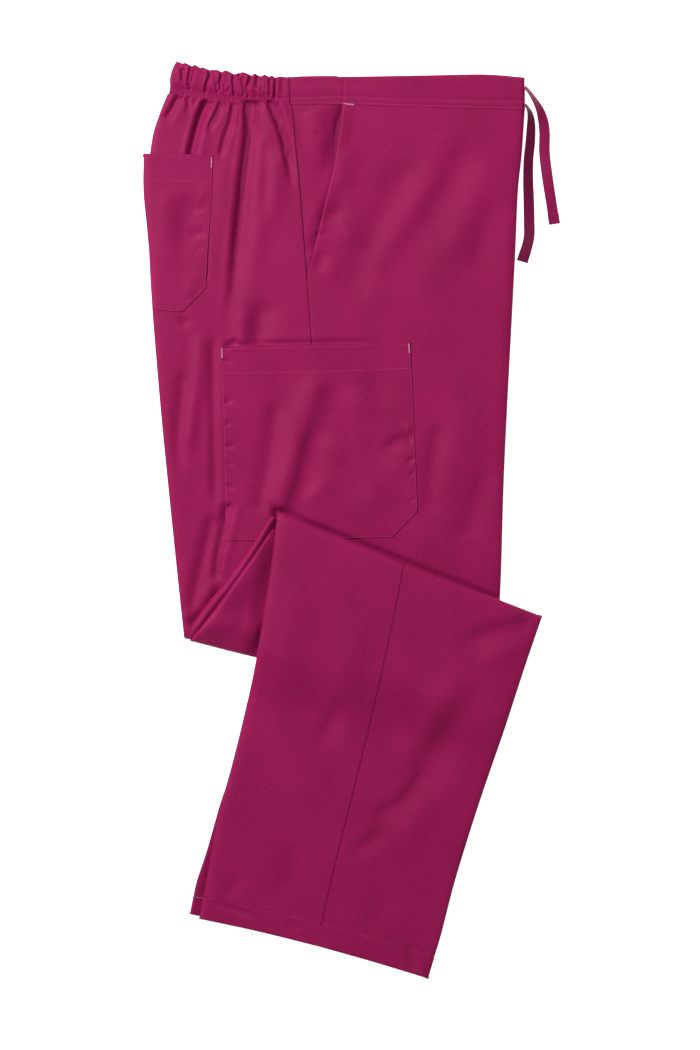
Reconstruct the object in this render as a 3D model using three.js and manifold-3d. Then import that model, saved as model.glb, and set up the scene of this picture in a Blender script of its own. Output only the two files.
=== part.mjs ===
// Medical scrub trousers in woven cloth, folded in half along the middle of front and back, then in a
// Z at the knee, and laid flat. Millimetres, +Z up, the waist towards +Y, the seat edge towards -X.
// The origin is on the ground under the middle of the bundle.
import * as THREE from "three";
import { mergeVertices } from "three/addons/utils/BufferGeometryUtils.js";
import Module from "manifold-3d";

const wasm = await Module();
wasm.setup();

// Cloth walls and the clearance between pieces
const WALL = 1.2;
const HEM_WALL = 1.8;
const BAND_WALL = 2.4;
const GAP = 0.3;
const SEAM_HALF = GAP / 2;
const HIDDEN_GAP = 0.6;
const FLATNESS = 0.05;
const HIDDEN_FLATNESS = 0.25;

// Heights of the bundle's upper surfaces above the ground
const HIPS_TOP = 6;
const LEG_TOP = 6;
const FOLD_TOP = 16;
const BAND_TOP = 6.1;
const BAND_UNDER_TOP = 3.4;
const UNDER_LEG_TOP = 2.1;
const UNDER_LEG_ROLL = 0.9;
const UNDER_COLUMNS = [0, 0.25, 1];

// How the cloth rolls down at a folded edge: distances in from the edge, and the drop over them
const EDGE_STEPS = [0, 1.5, 4, 8];
const EDGE_ROLL = EDGE_STEPS.at(-1);
const EDGE_DROP = 2.4;
const FOLD_DROP = 4;
const HEM_DROP = 0.8;
const HEM_ROLL = 2;

// The hidden layers' rounded side: lips and grooves between them, as shares of its height
const CORE_STEP = 2;
const LIP = 1.5;
const SIDE_PROFILE = [
  { share: 0.86, out: 1 },
  { share: 0.62, out: 0.1 },
  { share: 0.4, out: 1 },
  { share: 0.2, out: 0.2 },
  { share: 0.06, out: 0.9 },
  { share: 0, out: 0.6 },
];

// The turned hem of the leg, and the length of the lower leg that it ends
const LEG_HEM = 22;
const LEG_LENGTH = 385;

// Rows across hips and thigh, from the waist seam down to the fold under the knee
const HIP_ROWS = [
  { back: [-169, 412], seam: [-49.5, 406.5], front: [177.5, 404] },
  { back: [-177, 392], seam: [-46.5, 385], front: [176, 380] },
  { back: [-184, 368], seam: [-44.5, 360], front: [174, 352] },
  { back: [-188.5, 325], seam: [-41, 325], front: [170.5, 318] },
  { back: [-187.5, 271], seam: [-36.5, 268], front: [168, 262] },
  { back: [-184.5, 213], seam: [-32, 208], front: [165, 202] },
  { back: [-176.5, 116], seam: [-25, 112], front: [160, 108] },
  { back: [-169, 38.5], seam: [-19, 35], front: [156.5, 30] },
  { back: [-161, -39.5], seam: [-13, -55], front: [153.5, -70] },
  { back: [-152, -111], seam: [-4.5, -150.5], front: [147.5, -191.5] },
];
const HIP_GRID = { rows: 30, backColumns: 22, frontColumns: 14 };
const HIP_END = 0.009;

// Rows across the lower leg, from the fold above the knee down to the hem
const LEG_ROWS = [
  { back: [-62, 8], seam: [60, -42], front: [193.5, -93.5] },
  { back: [-68, -42], seam: [51, -89], front: [178.5, -137] },
  { back: [-75.5, -91.5], seam: [41, -135.5], front: [164, -181] },
  { back: [-84, -141], seam: [30.5, -182], front: [150, -224.5] },
  { back: [-95, -190.5], seam: [19.5, -228.5], front: [135, -268.5] },
  { back: [-107, -239], seam: [8, -275], front: [121, -312] },
  { back: [-120.5, -288.5], seam: [-3.5, -320.5], front: [108, -355.5] },
  { back: [-129.5, -338], seam: [-14.5, -367], front: [96.5, -400.5] },
  { back: [-138, -386.5], seam: [-24, -413], front: [83.5, -444.5] },
];
const LEG_GRID = { rows: 18, backColumns: 6, frontColumns: 6 };

// The fold above the knee, which hides the thigh below it
const TOP_FOLD = { at: [-62, 8], slope: -0.396, fadeFrom: 8, fadeTo: -12 };
// The fold under the knee: a point on it, its direction, and how the bundle thins beyond it
const KNEE_FOLD = { at: [-153.5, -114], along: [0.9661, -0.2583], slopeFrom: -38, slopeTo: 10 };
// Past the front crease of the thigh the folds sink towards the ground
const FRONT_SINK = { from: 140, to: 194, depth: 3.5 };

// The middle run of the Z, whose two legs show as two steps left of the lower leg
const KNEE_LOWER_ROWS = [
  { left: [-68, 3.5], right: [-61.5, -1.5] },
  { left: [-87.5, -25.5], right: [-66, -45] },
  { left: [-112, -59.5], right: [-71.5, -78] },
  { left: [-133, -84], right: [-76, -106] },
  { left: [-151.5, -111.2], right: [-80.5, -130.2] },
];
const KNEE_UPPER_ROWS = [
  { left: [-67.4, -9], right: [-63, -15] },
  { left: [-83.4, -32.5], right: [-67, -50] },
  { left: [-100, -55], right: [-71.5, -76] },
  { left: [-124.4, -88.7], right: [-76.5, -104] },
  { left: [-145, -113.4], right: [-80.5, -131.8] },
  { left: [-146.5, -116], right: [-81, -136.3] },
];
const KNEE_COLUMNS = [0, 0.07, 0.2, 0.45, 0.72, 1];
const KNEE_LOWER = { lift: GAP, thick: 1.5, roll: 0.4 };
const KNEE_UPPER = { lift: 2.2, thick: 2, roll: 0.9 };
const KNEE_REST = { low: HIPS_TOP, high: HIPS_TOP + GAP + WALL, fromY: -90, toY: -46 };
const KNEE_ROUND_FOOT = 0.3;

// The other leg's back crease and hem, seen past the lower leg
const UNDER_LEG_ROWS = [
  { left: [-112, -252], right: [-109.6, -252.6] },
  { left: [-117.6, -272], right: [-114.8, -272.7] },
  { left: [-131, -320.6], right: [-126, -321.8] },
  { left: [-140.6, -349.7], right: [-131, -352.2] },
  { left: [-144, -364.4], right: [-133.4, -367.4] },
];
const UNDER_HEM_ROWS = [
  { left: [-144.1, -364.9], right: [-133.5, -367.9] },
  { left: [-147.5, -382.2], right: [-138.6, -384.8] },
];

// Outlines of what is sewn on: patch pockets, and the slanted mouth of the hand pocket
const CARGO_POCKET = [
  [-117, 166.5], [-114.5, 89.5], [-113.3, 30], [-112.5, -21],
  [48.5, -17.5], [73.5, 8.3], [71.5, 50], [70, 89.5], [66.3, 171], [-31.5, 168.7],
];
const POCKET_REST = [[-119, 175], [-114.5, -23], [50, -19.5], [75.5, 7.5], [68, 175]];
const REST_CLEAR = 1;
const CARGO_HEM_LINE = [[-130, 140.6], [-24, 142.4], [80, 146.6]];
const BACK_POCKET = [
  [-192, 354], [-192.6, 331.5], [-192, 312.5], [-189.5, 287.5], [-185.5, 244.5], [-182, 202.8],
  [-154.2, 200.5], [-131.4, 224], [-129, 269], [-126, 306], [-124.6, 351.4], [-151.5, 353.6],
];
const POCKET_REACH = { up: 450, down: -60 };
const BACK_HEM_LINE = [[-200, 329.8], [-156, 328], [-118, 325.1]];
const SLASH = [[1.5, 407], [0, 398], [-1.5, 381.7], [-7.8, 342], [-17.5, 302], [-28, 256.6], [-33.6, 234.4]];
const FACING_REACH_LEFT = [[-52, 200], [-80, 420], [1.5, 420]];

// The waistband: its top line, and the gathers of its elastic stretch from the seat edge to the hip
const BAND_TOP_BACK = [[-163, 442.5], [-146.5, 440], [-123, 435], [-79.5, 430.5], [-64.7, 429]];
const BAND_TOP_FRONT = [[-64.4, 429], [-55, 428], [3, 429], [95, 431], [143.5, 431], [177, 428.5]];
const BAND_TOP_UNDER = [[-161.5, 441.5], [-123, 434], [-79.5, 429.5], [-55, 427.4], [95, 430], [175.5, 427.5]];
const BAND_COLUMNS = 12;
const GATHERS = [
  { width: 7.6, lift: 0.8 }, { width: 8.2, lift: 1 }, { width: 9.4, lift: 0.9 }, { width: 7.2, lift: 0.6 },
  { width: 8.4, lift: 1 }, { width: 7.4, lift: 0.8 }, { width: 7.8, lift: 0.9 }, { width: 8.6, lift: 1 },
  { width: 7.2, lift: 0.7 }, { width: 8.2, lift: 0.9 }, { width: 6.8, lift: 0.6 }, { width: 7.2, lift: 0.8 },
  { width: 6.2, lift: 0.5 }, { width: 4.4, lift: 0.3 },
];
const GATHER_SHAPE = [0, 0.75, 1, 0.75];
const GATHER_HEIGHT = 2.4;
const GATHER_BUMP = 2.2;
const GATHER_ON_PANEL = 1.5;
const GATHER_FADE = { from: 410, to: 354 };
const ELASTIC = { from: -169, length: 104 };

// Largest folds: a path, the half width, and the height, less than nought for a trough
const HIP_FOLDS = [
  { path: [[-134.8, 406], [-140, 384], [-148.4, 361]], width: 6, height: -1.7 },
  { path: [[-93.6, 404], [-92, 361], [-101, 318], [-107, 256], [-112, 214]], width: 7, height: -2 },
  { path: [[-78, 392], [-77, 350], [-86, 312], [-92, 262]], width: 9, height: 1.2 },
  { path: [[-71, 404], [-59, 361], [-46, 330]], width: 6, height: -1.4 },
  { path: [[-75, 220], [-80, 172]], width: 13, height: -1.5 },
  { path: [[-102, 210], [-99, 172]], width: 11, height: 0.9 },
  { path: [[-152, 300], [-151, 262]], width: 11, height: -0.9 },
  { path: [[126, 370], [85, 318], [47.5, 266], [22, 214]], width: 15, height: -1.3 },
  { path: [[124, 326], [100, 257]], width: 12, height: -0.8 },
  { path: [[84, 320], [58, 270]], width: 13, height: 0.7 },
  { path: [[-15.5, 118], [-33, 81], [-44.6, 45], [-50.4, 12]], width: 8, height: -1.5 },
  { path: [[-41, 128], [-54, 90]], width: 8, height: 1 },
  { path: [[-117.5, 18], [-122, -54], [-140, -86]], width: 11, height: -1.5 },
  { path: [[-138, 60], [-146, -10]], width: 12, height: 0.8 },
];
const LEG_FOLDS = [
  { path: [[184, -99], [159, -108], [137, -118]], width: 8, height: -1.2 },
  { path: [[131, -169], [99, -207], [61, -263], [40, -281], [10, -321]], width: 15, height: -1.2 },
  { path: [[-2, -175], [-15, -217]], width: 11, height: -0.9 },
  { path: [[20, -100], [8, -160]], width: 16, height: 0.7 },
  { path: [[-70, -300], [-60, -370]], width: 14, height: -0.8 },
];
const FOLD_TAPER = 22;
const FOLD_END = 7;

// Flat tape of the drawstring: centre line, and its width as seen where it turns on edge
const TAPE_THICK = 1.2;
const DRAWSTRING_A = [
  { at: [179.6, 416.6, 2.6], width: 4.6 },
  { at: [185.4, 408, 1.6], width: 5.4 },
  { at: [191.6, 397, 0.9], width: 7.6 },
  { at: [195, 386, 0.8], width: 9.6 },
  { at: [196.4, 374, 0.8], width: 10.4 },
  { at: [196.2, 358, 0.8], width: 10.5 },
  { at: [197.6, 343, 0.8], width: 10.5 },
  { at: [200.4, 323, 0.8], width: 10.5 },
  { at: [203.4, 304, 0.8], width: 10.5 },
  { at: [206, 286.5, 0.8], width: 10.5 },
];
const DRAWSTRING_B = [
  { at: [179.8, 400, 2], width: 3.4 },
  { at: [182.6, 391, 1.2], width: 7 },
  { at: [183.2, 380, 0.8], width: 9.6 },
  { at: [182.4, 365, 0.8], width: 10.4 },
  { at: [180.6, 350, 0.8], width: 10.5 },
  { at: [180.4, 330, 0.8], width: 10.5 },
  { at: [181, 310, 0.8], width: 10.5 },
  { at: [181.4, 290, 0.8], width: 10.5 },
  { at: [181, 272, 0.8], width: 10.5 },
  { at: [174.8, 250, 0.8], width: 10.5 },
];
const TAPE_STEPS = 24;

const PRISM_LOW = -5;
const PRISM_HIGH = 40;

// Small numbers and shapes that every piece uses
const mix = (a, b, t) => a + (b - a) * t;
const between = (p, q, t) => [mix(p[0], q[0], t), mix(p[1], q[1], t)];
const distance = (p, q) => Math.hypot(q[0] - p[0], q[1] - p[1]);
const clamp = (t) => Math.min(1, Math.max(0, t));

function smooth(from, to, value) {
  const t = clamp((value - from) / (to - from));
  return t * t * (3 - 2 * t);
}

function curveOf(points) {
  const corners = points.map((p) => new THREE.Vector3(p[0], p[1], p[2] ?? 0));
  const curve = new THREE.CatmullRomCurve3(corners, false, "centripetal");
  return (t) => curve.getPoint(t).toArray();
}

function roll(depth, drop) {
  const rest = 1 - Math.min(depth, EDGE_ROLL) / EDGE_ROLL;
  return drop * (1 - Math.sqrt(1 - rest * rest));
}

// Height that one fold adds at a point, fading to its sides and ends
function foldHeight(fold, point) {
  let nearest = Infinity;
  let reach = 0;
  let before = 0;
  for (let k = 1; k < fold.path.length; k++) {
    const [a, b] = [fold.path[k - 1], fold.path[k]];
    const length = distance(a, b);
    const dot = (point[0] - a[0]) * (b[0] - a[0]) + (point[1] - a[1]) * (b[1] - a[1]);
    const t = clamp(dot / (length * length));
    const away = distance(point, between(a, b, t));
    if (away < nearest) {
      nearest = away;
      reach = before + t * length;
    }
    before += length;
  }
  const taper = smooth(-FOLD_END, FOLD_TAPER, reach) * smooth(-FOLD_END, FOLD_TAPER, before - reach);
  return fold.height * taper * Math.exp(-((nearest / fold.width) ** 2));
}

function foldsAt(folds, point) {
  return folds.reduce((sum, fold) => sum + foldHeight(fold, point), 0);
}

// Distance from the fold under the knee, more than nought towards the waist
function aboveKneeFold(point) {
  const { at, along } = KNEE_FOLD;
  return (point[1] - at[1]) * along[0] - (point[0] - at[0]) * along[1];
}

// Closed solids
function toSolid(geometry) {
  geometry.deleteAttribute("normal");
  geometry.deleteAttribute("uv");
  const merged = mergeVertices(geometry, 1e-4);
  const mesh = new wasm.Mesh({
    numProp: 3,
    vertProperties: new Float32Array(merged.attributes.position.array),
    triVerts: new Uint32Array(merged.index.array),
  });
  return new wasm.Manifold(mesh);
}

function toGeometry(solid) {
  const mesh = solid.getMesh();
  const geometry = new THREE.BufferGeometry();
  geometry.setAttribute("position", new THREE.BufferAttribute(new Float32Array(mesh.vertProperties), 3));
  geometry.setIndex(new THREE.BufferAttribute(new Uint32Array(mesh.triVerts), 1));
  const loose = geometry.toNonIndexed();
  loose.computeVertexNormals();
  return loose;
}

// A wall over a grid of points, between a lower and an upper height at each; rows run down, columns right
function slab(grid) {
  const rows = grid.length;
  const columns = grid[0].length;
  const positions = [];
  for (const side of ["high", "low"]) {
    grid.flat().forEach((node) => positions.push(node.x, node.y, node[side]));
  }
  const under = rows * columns;
  const at = (row, column) => row * columns + column;
  const triangles = [];
  for (let row = 0; row + 1 < rows; row++) {
    for (let column = 0; column + 1 < columns; column++) {
      const [a, b] = [at(row, column), at(row, column + 1)];
      const [c, d] = [at(row + 1, column + 1), at(row + 1, column)];
      triangles.push(a, d, c, a, c, b);
      triangles.push(under + a, under + c, under + d, under + a, under + b, under + c);
    }
  }
  const rim = rimOf(rows, columns).map(([row, column]) => at(row, column));
  rim.forEach((here, k) => {
    const next = rim[(k + 1) % rim.length];
    triangles.push(here, next, under + next, here, under + next, under + here);
  });
  const geometry = new THREE.BufferGeometry();
  geometry.setAttribute("position", new THREE.BufferAttribute(new Float32Array(positions), 3));
  geometry.setIndex(triangles);
  return toSolid(geometry);
}

// The nodes round a grid, clockwise as seen from above
function rimOf(rows, columns) {
  const rim = [];
  for (let column = 0; column < columns - 1; column++) rim.push([0, column]);
  for (let row = 0; row < rows - 1; row++) rim.push([row, columns - 1]);
  for (let column = columns - 1; column > 0; column--) rim.push([rows - 1, column]);
  for (let row = rows - 1; row > 0; row--) rim.push([row, 0]);
  return rim;
}

// The hidden layers as one solid: a grid's upper heights, a side with lips, and a flat underside
function layeredCore(grid, lips) {
  const rows = grid.length;
  const columns = grid[0].length;
  const positions = grid.flat().flatMap((node) => [node.x, node.y, node.high]);
  const at = (row, column) => row * columns + column;
  const triangles = [];
  for (let row = 0; row + 1 < rows; row++) {
    for (let column = 0; column + 1 < columns; column++) {
      const [a, b] = [at(row, column), at(row, column + 1)];
      const [c, d] = [at(row + 1, column + 1), at(row + 1, column)];
      triangles.push(a, d, c, a, c, b);
    }
  }
  const rim = rimOf(rows, columns);
  const outline = rim.map(([row, column]) => grid[row][column]);
  let ring = rim.map(([row, column]) => at(row, column));
  for (const step of lips) {
    const start = positions.length / 3;
    outline.forEach((node, k) => {
      const before = outline[(k + outline.length - 1) % outline.length];
      const after = outline[(k + 1) % outline.length];
      const length = Math.hypot(after.x - before.x, after.y - before.y);
      const out = (LIP * step.out) / length;
      const x = node.x - (after.y - before.y) * out;
      const y = node.y + (after.x - before.x) * out;
      positions.push(x, y, node.high * step.share);
    });
    const lower = ring.map((_, k) => start + k);
    ring.forEach((here, k) => {
      const next = (k + 1) % ring.length;
      triangles.push(here, ring[next], lower[next], here, lower[next], lower[k]);
    });
    ring = lower;
  }
  const foot = ring.map((index) => new THREE.Vector2(positions[index * 3], positions[index * 3 + 1]));
  for (const [a, b, c] of THREE.ShapeUtils.triangulateShape(foot, [])) {
    const turn = new THREE.Vector2().subVectors(foot[b], foot[a]).cross(
      new THREE.Vector2().subVectors(foot[c], foot[a]));
    triangles.push(...(turn > 0 ? [ring[a], ring[c], ring[b]] : [ring[a], ring[b], ring[c]]));
  }
  const geometry = new THREE.BufferGeometry();
  geometry.setAttribute("position", new THREE.BufferAttribute(new Float32Array(positions), 3));
  geometry.setIndex(triangles);
  return toSolid(geometry);
}

// An upright prism over an outline
function prism(outline, low = PRISM_LOW, high = PRISM_HIGH) {
  const shape = new THREE.Shape(outline.map(([x, y]) => new THREE.Vector2(x, y)));
  const geometry = new THREE.ExtrudeGeometry(shape, { depth: high - low, bevelEnabled: false });
  geometry.translate(0, 0, low);
  return toSolid(geometry);
}

// Distances of columns across one row, closer at the rolled edges
function spread(width, count) {
  const inner = [];
  for (let k = 0; k <= count; k++) inner.push(mix(EDGE_ROLL, width, k / count));
  return [...EDGE_STEPS.slice(0, -1), ...inner];
}

// The grid of a pair of panels that meet at a side seam, with the height of its upper face at each node
function panelGrid(table, stops, size, outside, height) {
  const edges = {};
  for (const name of ["back", "seam", "front"]) edges[name] = curveOf(table.map((row) => row[name]));
  return stops.map((t) => {
    const [back, seam, front] = [edges.back(t), edges.seam(t), edges.front(t)];
    const backWidth = distance(back, seam);
    const frontWidth = distance(seam, front);
    const nodes = [];
    for (const depth of [...outside, ...spread(backWidth - SEAM_HALF, size.backColumns)]) {
      nodes.push({ at: between(back, seam, depth / backWidth), depth });
    }
    for (const depth of spread(frontWidth - SEAM_HALF, size.frontColumns).reverse()) {
      nodes.push({ at: between(front, seam, depth / frontWidth), depth });
    }
    return nodes.map(({ at, depth }) => ({ x: at[0], y: at[1], high: height(at, depth, t) }));
  });
}

function part(grid, rows, columns, change) {
  return grid.slice(...rows).map((row) => row.slice(...columns).map(change));
}

const wallUnder = (node) => ({ ...node, low: node.high - WALL });

// Gathers: how far the cloth is lifted at a share of the elastic stretch, from 0 to 1
const gatherTotal = GATHERS.reduce((sum, gather) => sum + gather.width, 0);

function gatherNodes() {
  const nodes = [];
  let before = 0;
  for (const { width, lift } of GATHERS) {
    GATHER_SHAPE.forEach((wave, k) => {
      nodes.push({ share: (before + (width * k) / GATHER_SHAPE.length) / gatherTotal, wave: wave * lift });
    });
    before += width;
  }
  nodes.push({ share: 1, wave: 0 });
  return nodes;
}

function gatherLift(share) {
  if (share <= 0 || share >= 1) return 0;
  let before = 0;
  for (const { width, lift } of GATHERS) {
    const inside = (share * gatherTotal - before) / width;
    if (inside < 1) return lift * Math.sin(Math.PI * inside);
    before += width;
  }
  return 0;
}

// Hips and thigh
function hipSurface(point) {
  const foldY = TOP_FOLD.at[1] + TOP_FOLD.slope * (point[0] - TOP_FOLD.at[0]);
  const hidden = smooth(TOP_FOLD.fadeFrom, TOP_FOLD.fadeTo, point[1] - foldY);
  const share = (point[0] - ELASTIC.from) / ELASTIC.length;
  const gathers = gatherLift(share) * GATHER_ON_PANEL * smooth(GATHER_FADE.to, GATHER_FADE.from, point[1]);
  return HIPS_TOP + foldsAt(HIP_FOLDS, point) * (1 - hidden) + gathers;
}

const hipStops = [0];
for (let k = 0; k <= HIP_GRID.rows; k++) hipStops.push(mix(HIP_END, 1 - HIP_END, k / HIP_GRID.rows));
hipStops.push(1);
const OUTSIDE = [-10, -4];
const hipGrid = panelGrid(HIP_ROWS, hipStops, HIP_GRID, OUTSIDE,
  (point, depth) => hipSurface(point) - roll(Math.max(depth, 0), EDGE_DROP));
const flatHipGrid = panelGrid(HIP_ROWS, hipStops, HIP_GRID, OUTSIDE, (point) => hipSurface(point));
const hipBack = [OUTSIDE.length, OUTSIDE.length + EDGE_STEPS.length + HIP_GRID.backColumns];
const hipFront = [hipBack[1], hipGrid[0].length];

const thighBackWall = slab(part(hipGrid, [0], hipBack, wallUnder));
const thighFrontWall = slab(part(hipGrid, [0], hipFront, wallUnder));
const slashArea = [...SLASH, ...FACING_REACH_LEFT];
const slashCut = [...SLASH.map(([x, y]) => [x + GAP, y]), ...FACING_REACH_LEFT];
const facingWall = thighFrontWall.intersect(prism(slashArea));
const frontWall = thighFrontWall.subtract(prism(slashCut));

const coreTop = (node) => ({ ...node, high: Math.max(node.high - WALL - HIDDEN_GAP, 1) });
const hipCore = layeredCore(
  part(hipGrid, [1, -1], [hipBack[0] + CORE_STEP, hipGrid[0].length - CORE_STEP], coreTop), SIDE_PROFILE);

// Patch pockets, from the points of the panels that they lie on
function patch(outline, hemLine, thickness, aboveHem) {
  const grid = part(flatHipGrid, [0], [0],
    (node) => ({ ...node, low: node.high + GAP, high: node.high + GAP + thickness }));
  const top = hemLine.map(([x, y]) => [x, y + (aboveHem ? SEAM_HALF : -SEAM_HALF)]);
  const far = aboveHem ? POCKET_REACH.up : POCKET_REACH.down;
  const side = [...top, [top.at(-1)[0], far], [top[0][0], far]];
  return slab(grid).intersect(prism(outline)).intersect(prism(side));
}

const cargoPocket = patch(CARGO_POCKET, CARGO_HEM_LINE, WALL, false);
const cargoHem = patch(CARGO_POCKET, CARGO_HEM_LINE, HEM_WALL, true);
const backPocket = patch(BACK_POCKET, BACK_HEM_LINE, WALL, false);
const backHem = patch(BACK_POCKET, BACK_HEM_LINE, HEM_WALL, true);

// Waistband
function bandGrid(columns, topLine, bottomLine, rows, change) {
  return rows.map((row) => columns.map((column) => {
    const top = topLine(column.share);
    const bottom = bottomLine(column.share);
    top[1] += GATHER_BUMP * (column.wave ?? 0);
    const [x, y] = between(top, bottom, row.share);
    return change(x, y, row, column.wave ?? 0);
  }));
}

const BAND_ROWS = [
  { share: 0, drop: 1.4 },
  { share: 0.1, drop: 0.3 },
  { share: 0.35, drop: 0 },
  { share: 0.85, drop: 0 },
  { share: 1, drop: 0.4 },
];
const seamLine = (from, to) => (share) => between(from, to, share);
const upperBand = (x, y, row, wave) => {
  const high = BAND_TOP + GATHER_HEIGHT * wave - row.drop;
  return { x, y, low: high - BAND_WALL + Math.min(row.drop, GAP), high };
};
const underBand = (x, y, row) => ({ x, y, low: 0, high: BAND_UNDER_TOP - row.drop });
const flatColumns = [];
for (let k = 0; k <= BAND_COLUMNS; k++) flatColumns.push({ share: k / BAND_COLUMNS });

const bandBack = slab(bandGrid(gatherNodes(), curveOf(BAND_TOP_BACK),
  seamLine([-168.8, 412.4], [-64.7, 407.6]), BAND_ROWS, upperBand));
const bandFront = slab(bandGrid(flatColumns, curveOf(BAND_TOP_FRONT),
  seamLine([-64.4, 407.6], [177.2, 404.4]), BAND_ROWS, upperBand));
const bandUnder = slab(bandGrid(flatColumns, curveOf(BAND_TOP_UNDER),
  seamLine([-167.4, 412.6], [176, 404.7]), BAND_ROWS, underBand));

// Lower leg, over the folds and past them
function legSurface(point) {
  const above = aboveKneeFold(point);
  const rise = smooth(KNEE_FOLD.slopeFrom, KNEE_FOLD.slopeTo, above);
  const sink = FRONT_SINK.depth * smooth(FRONT_SINK.from, FRONT_SINK.to, point[0]) * rise;
  return mix(LEG_TOP, FOLD_TOP, rise) - sink + foldsAt(LEG_FOLDS, point);
}

const legStops = EDGE_STEPS.map((depth) => depth / LEG_LENGTH);
for (let k = 1; k <= LEG_GRID.rows; k++) {
  legStops.push(mix(EDGE_ROLL, LEG_LENGTH - LEG_HEM - GAP, k / LEG_GRID.rows) / LEG_LENGTH);
}
const legWallRows = legStops.length;
for (const depth of [LEG_HEM, LEG_HEM / 2, HEM_ROLL, 0]) legStops.push(1 - depth / LEG_LENGTH);
const legGrid = panelGrid(LEG_ROWS, legStops, LEG_GRID, [],
  (point, depth, t) => legSurface(point) - roll(depth, EDGE_DROP) - roll(t * LEG_LENGTH, FOLD_DROP)
    - (t === 1 ? HEM_DROP : 0));
const legBack = [0, EDGE_STEPS.length + LEG_GRID.backColumns];
const legFront = [legBack[1], legGrid[0].length];
const hemUnder = (node) => ({ ...node, high: node.high + HEM_WALL - WALL, low: node.high - WALL });

const legBackWall = slab(part(legGrid, [0, legWallRows], legBack, wallUnder));
const legFrontWall = slab(part(legGrid, [0, legWallRows], legFront, wallUnder));
const hemBack = slab(part(legGrid, [legWallRows], legBack, hemUnder));
const hemFront = slab(part(legGrid, [legWallRows], legFront, hemUnder));

// What the folds of the leg rest on: the thigh, and the cargo pocket where it runs under them
const lastHipRow = HIP_ROWS.at(-1);
const restOutline = [
  ...HIP_ROWS.map((row) => [row.back[0] - REST_CLEAR, row.back[1]]),
  [lastHipRow.back[0] - REST_CLEAR, lastHipRow.back[1] - REST_CLEAR],
  [lastHipRow.front[0] + REST_CLEAR, lastHipRow.front[1] - REST_CLEAR],
  ...HIP_ROWS.map((row) => [row.front[0] + REST_CLEAR, row.front[1]]).reverse(),
];
const legCore = layeredCore(
  part(legGrid, [CORE_STEP, -2], [CORE_STEP, -CORE_STEP], coreTop), SIDE_PROFILE)
  .subtract(prism(restOutline, PRISM_LOW, HIPS_TOP + GAP))
  .subtract(prism(POCKET_REST, PRISM_LOW, HIPS_TOP + GAP + WALL + GAP));

// Middle run of the Z
function kneeGrid(table, layer, wraps) {
  const left = curveOf(table.map((row) => row.left));
  const right = curveOf(table.map((row) => row.right));
  return table.map((_, k) => {
    const t = k / (table.length - 1);
    return KNEE_COLUMNS.map((share, column) => {
      const [x, y] = between(left(t), right(t), share);
      const rest = mix(KNEE_REST.low, KNEE_REST.high, smooth(KNEE_REST.fromY, KNEE_REST.toY, y));
      const low = rest + layer.lift;
      const high = low + layer.thick - (column === 0 ? layer.roll : 0);
      const last = wraps && k === table.length - 1;
      return last ? { x, y, low: KNEE_ROUND_FOOT, high: low } : { x, y, low, high };
    });
  });
}

const kneeLower = slab(kneeGrid(KNEE_LOWER_ROWS, KNEE_LOWER, false));
const kneeUpper = slab(kneeGrid(KNEE_UPPER_ROWS, KNEE_UPPER, true));

// The other leg beyond the lower leg's back crease
function underStrip(table) {
  return slab(table.map(({ left, right }) => UNDER_COLUMNS.map((share) => {
    const [x, y] = between(left, right, share);
    return { x, y, low: 0, high: UNDER_LEG_TOP - (share === 0 ? UNDER_LEG_ROLL : 0) };
  })));
}

// Drawstring ends
function tape(table) {
  const centre = curveOf(table.map((row) => row.at));
  const width = curveOf(table.map((row) => [row.width, 0]));
  const grid = [];
  for (let k = 0; k <= TAPE_STEPS; k++) {
    const t = k / TAPE_STEPS;
    const [x, y, z] = centre(t);
    const before = centre(Math.max(t - 0.01, 0));
    const after = centre(Math.min(t + 0.01, 1));
    const length = distance(before, after);
    const half = width(t)[0] / 2;
    const across = [-(after[1] - before[1]) / length, (after[0] - before[0]) / length];
    grid.push([-half, half].map((offset) => ({
      x: x - across[0] * offset,
      y: y - across[1] * offset,
      low: z - TAPE_THICK / 2,
      high: z + TAPE_THICK / 2,
    })));
  }
  return slab(grid.map((row) => row.reverse()));
}

// Materials: one dye lot, the tape a little smoother than the twill
const clothColour = 0x901e51;
const cloth = () => new THREE.MeshStandardMaterial({ color: clothColour, roughness: 0.85, metalness: 0 });
const tapeCloth = () => new THREE.MeshStandardMaterial({ color: clothColour, roughness: 0.75, metalness: 0 });

function node(name, solid, flatness = FLATNESS, material = cloth) {
  const mesh = new THREE.Mesh(toGeometry(solid.simplify(flatness)), material());
  mesh.name = name;
  return mesh;
}

const trousers = new THREE.Group();
trousers.name = "folded_scrub_trousers";

const waist = new THREE.Group();
waist.add(node("waistband_back", bandBack));
waist.add(node("waistband_front", bandFront));
waist.add(node("waistband_under", bandUnder));
waist.add(node("drawstring_a", tape(DRAWSTRING_A), FLATNESS, tapeCloth));
waist.add(node("drawstring_b", tape(DRAWSTRING_B), FLATNESS, tapeCloth));

const hips = new THREE.Group();
hips.add(node("hips_under", hipCore, HIDDEN_FLATNESS));
hips.add(node("thigh_back", thighBackWall));
hips.add(node("thigh_front", frontWall));
hips.add(node("side_pocket_facing", facingWall));
hips.add(node("back_pocket", backPocket));
hips.add(node("back_pocket_hem", backHem));
hips.add(node("cargo_pocket", cargoPocket));
hips.add(node("cargo_pocket_hem", cargoHem));

const legs = new THREE.Group();
legs.add(node("knee_fold_lower", kneeLower));
legs.add(node("knee_fold_upper", kneeUpper));
legs.add(node("leg_under", legCore, HIDDEN_FLATNESS));
legs.add(node("lower_leg_back", legBackWall));
legs.add(node("lower_leg_front", legFrontWall));
legs.add(node("hem_back", hemBack));
legs.add(node("hem_front", hemFront));
legs.add(node("under_leg", underStrip(UNDER_LEG_ROWS)));
legs.add(node("under_hem", underStrip(UNDER_HEM_ROWS)));

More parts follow.
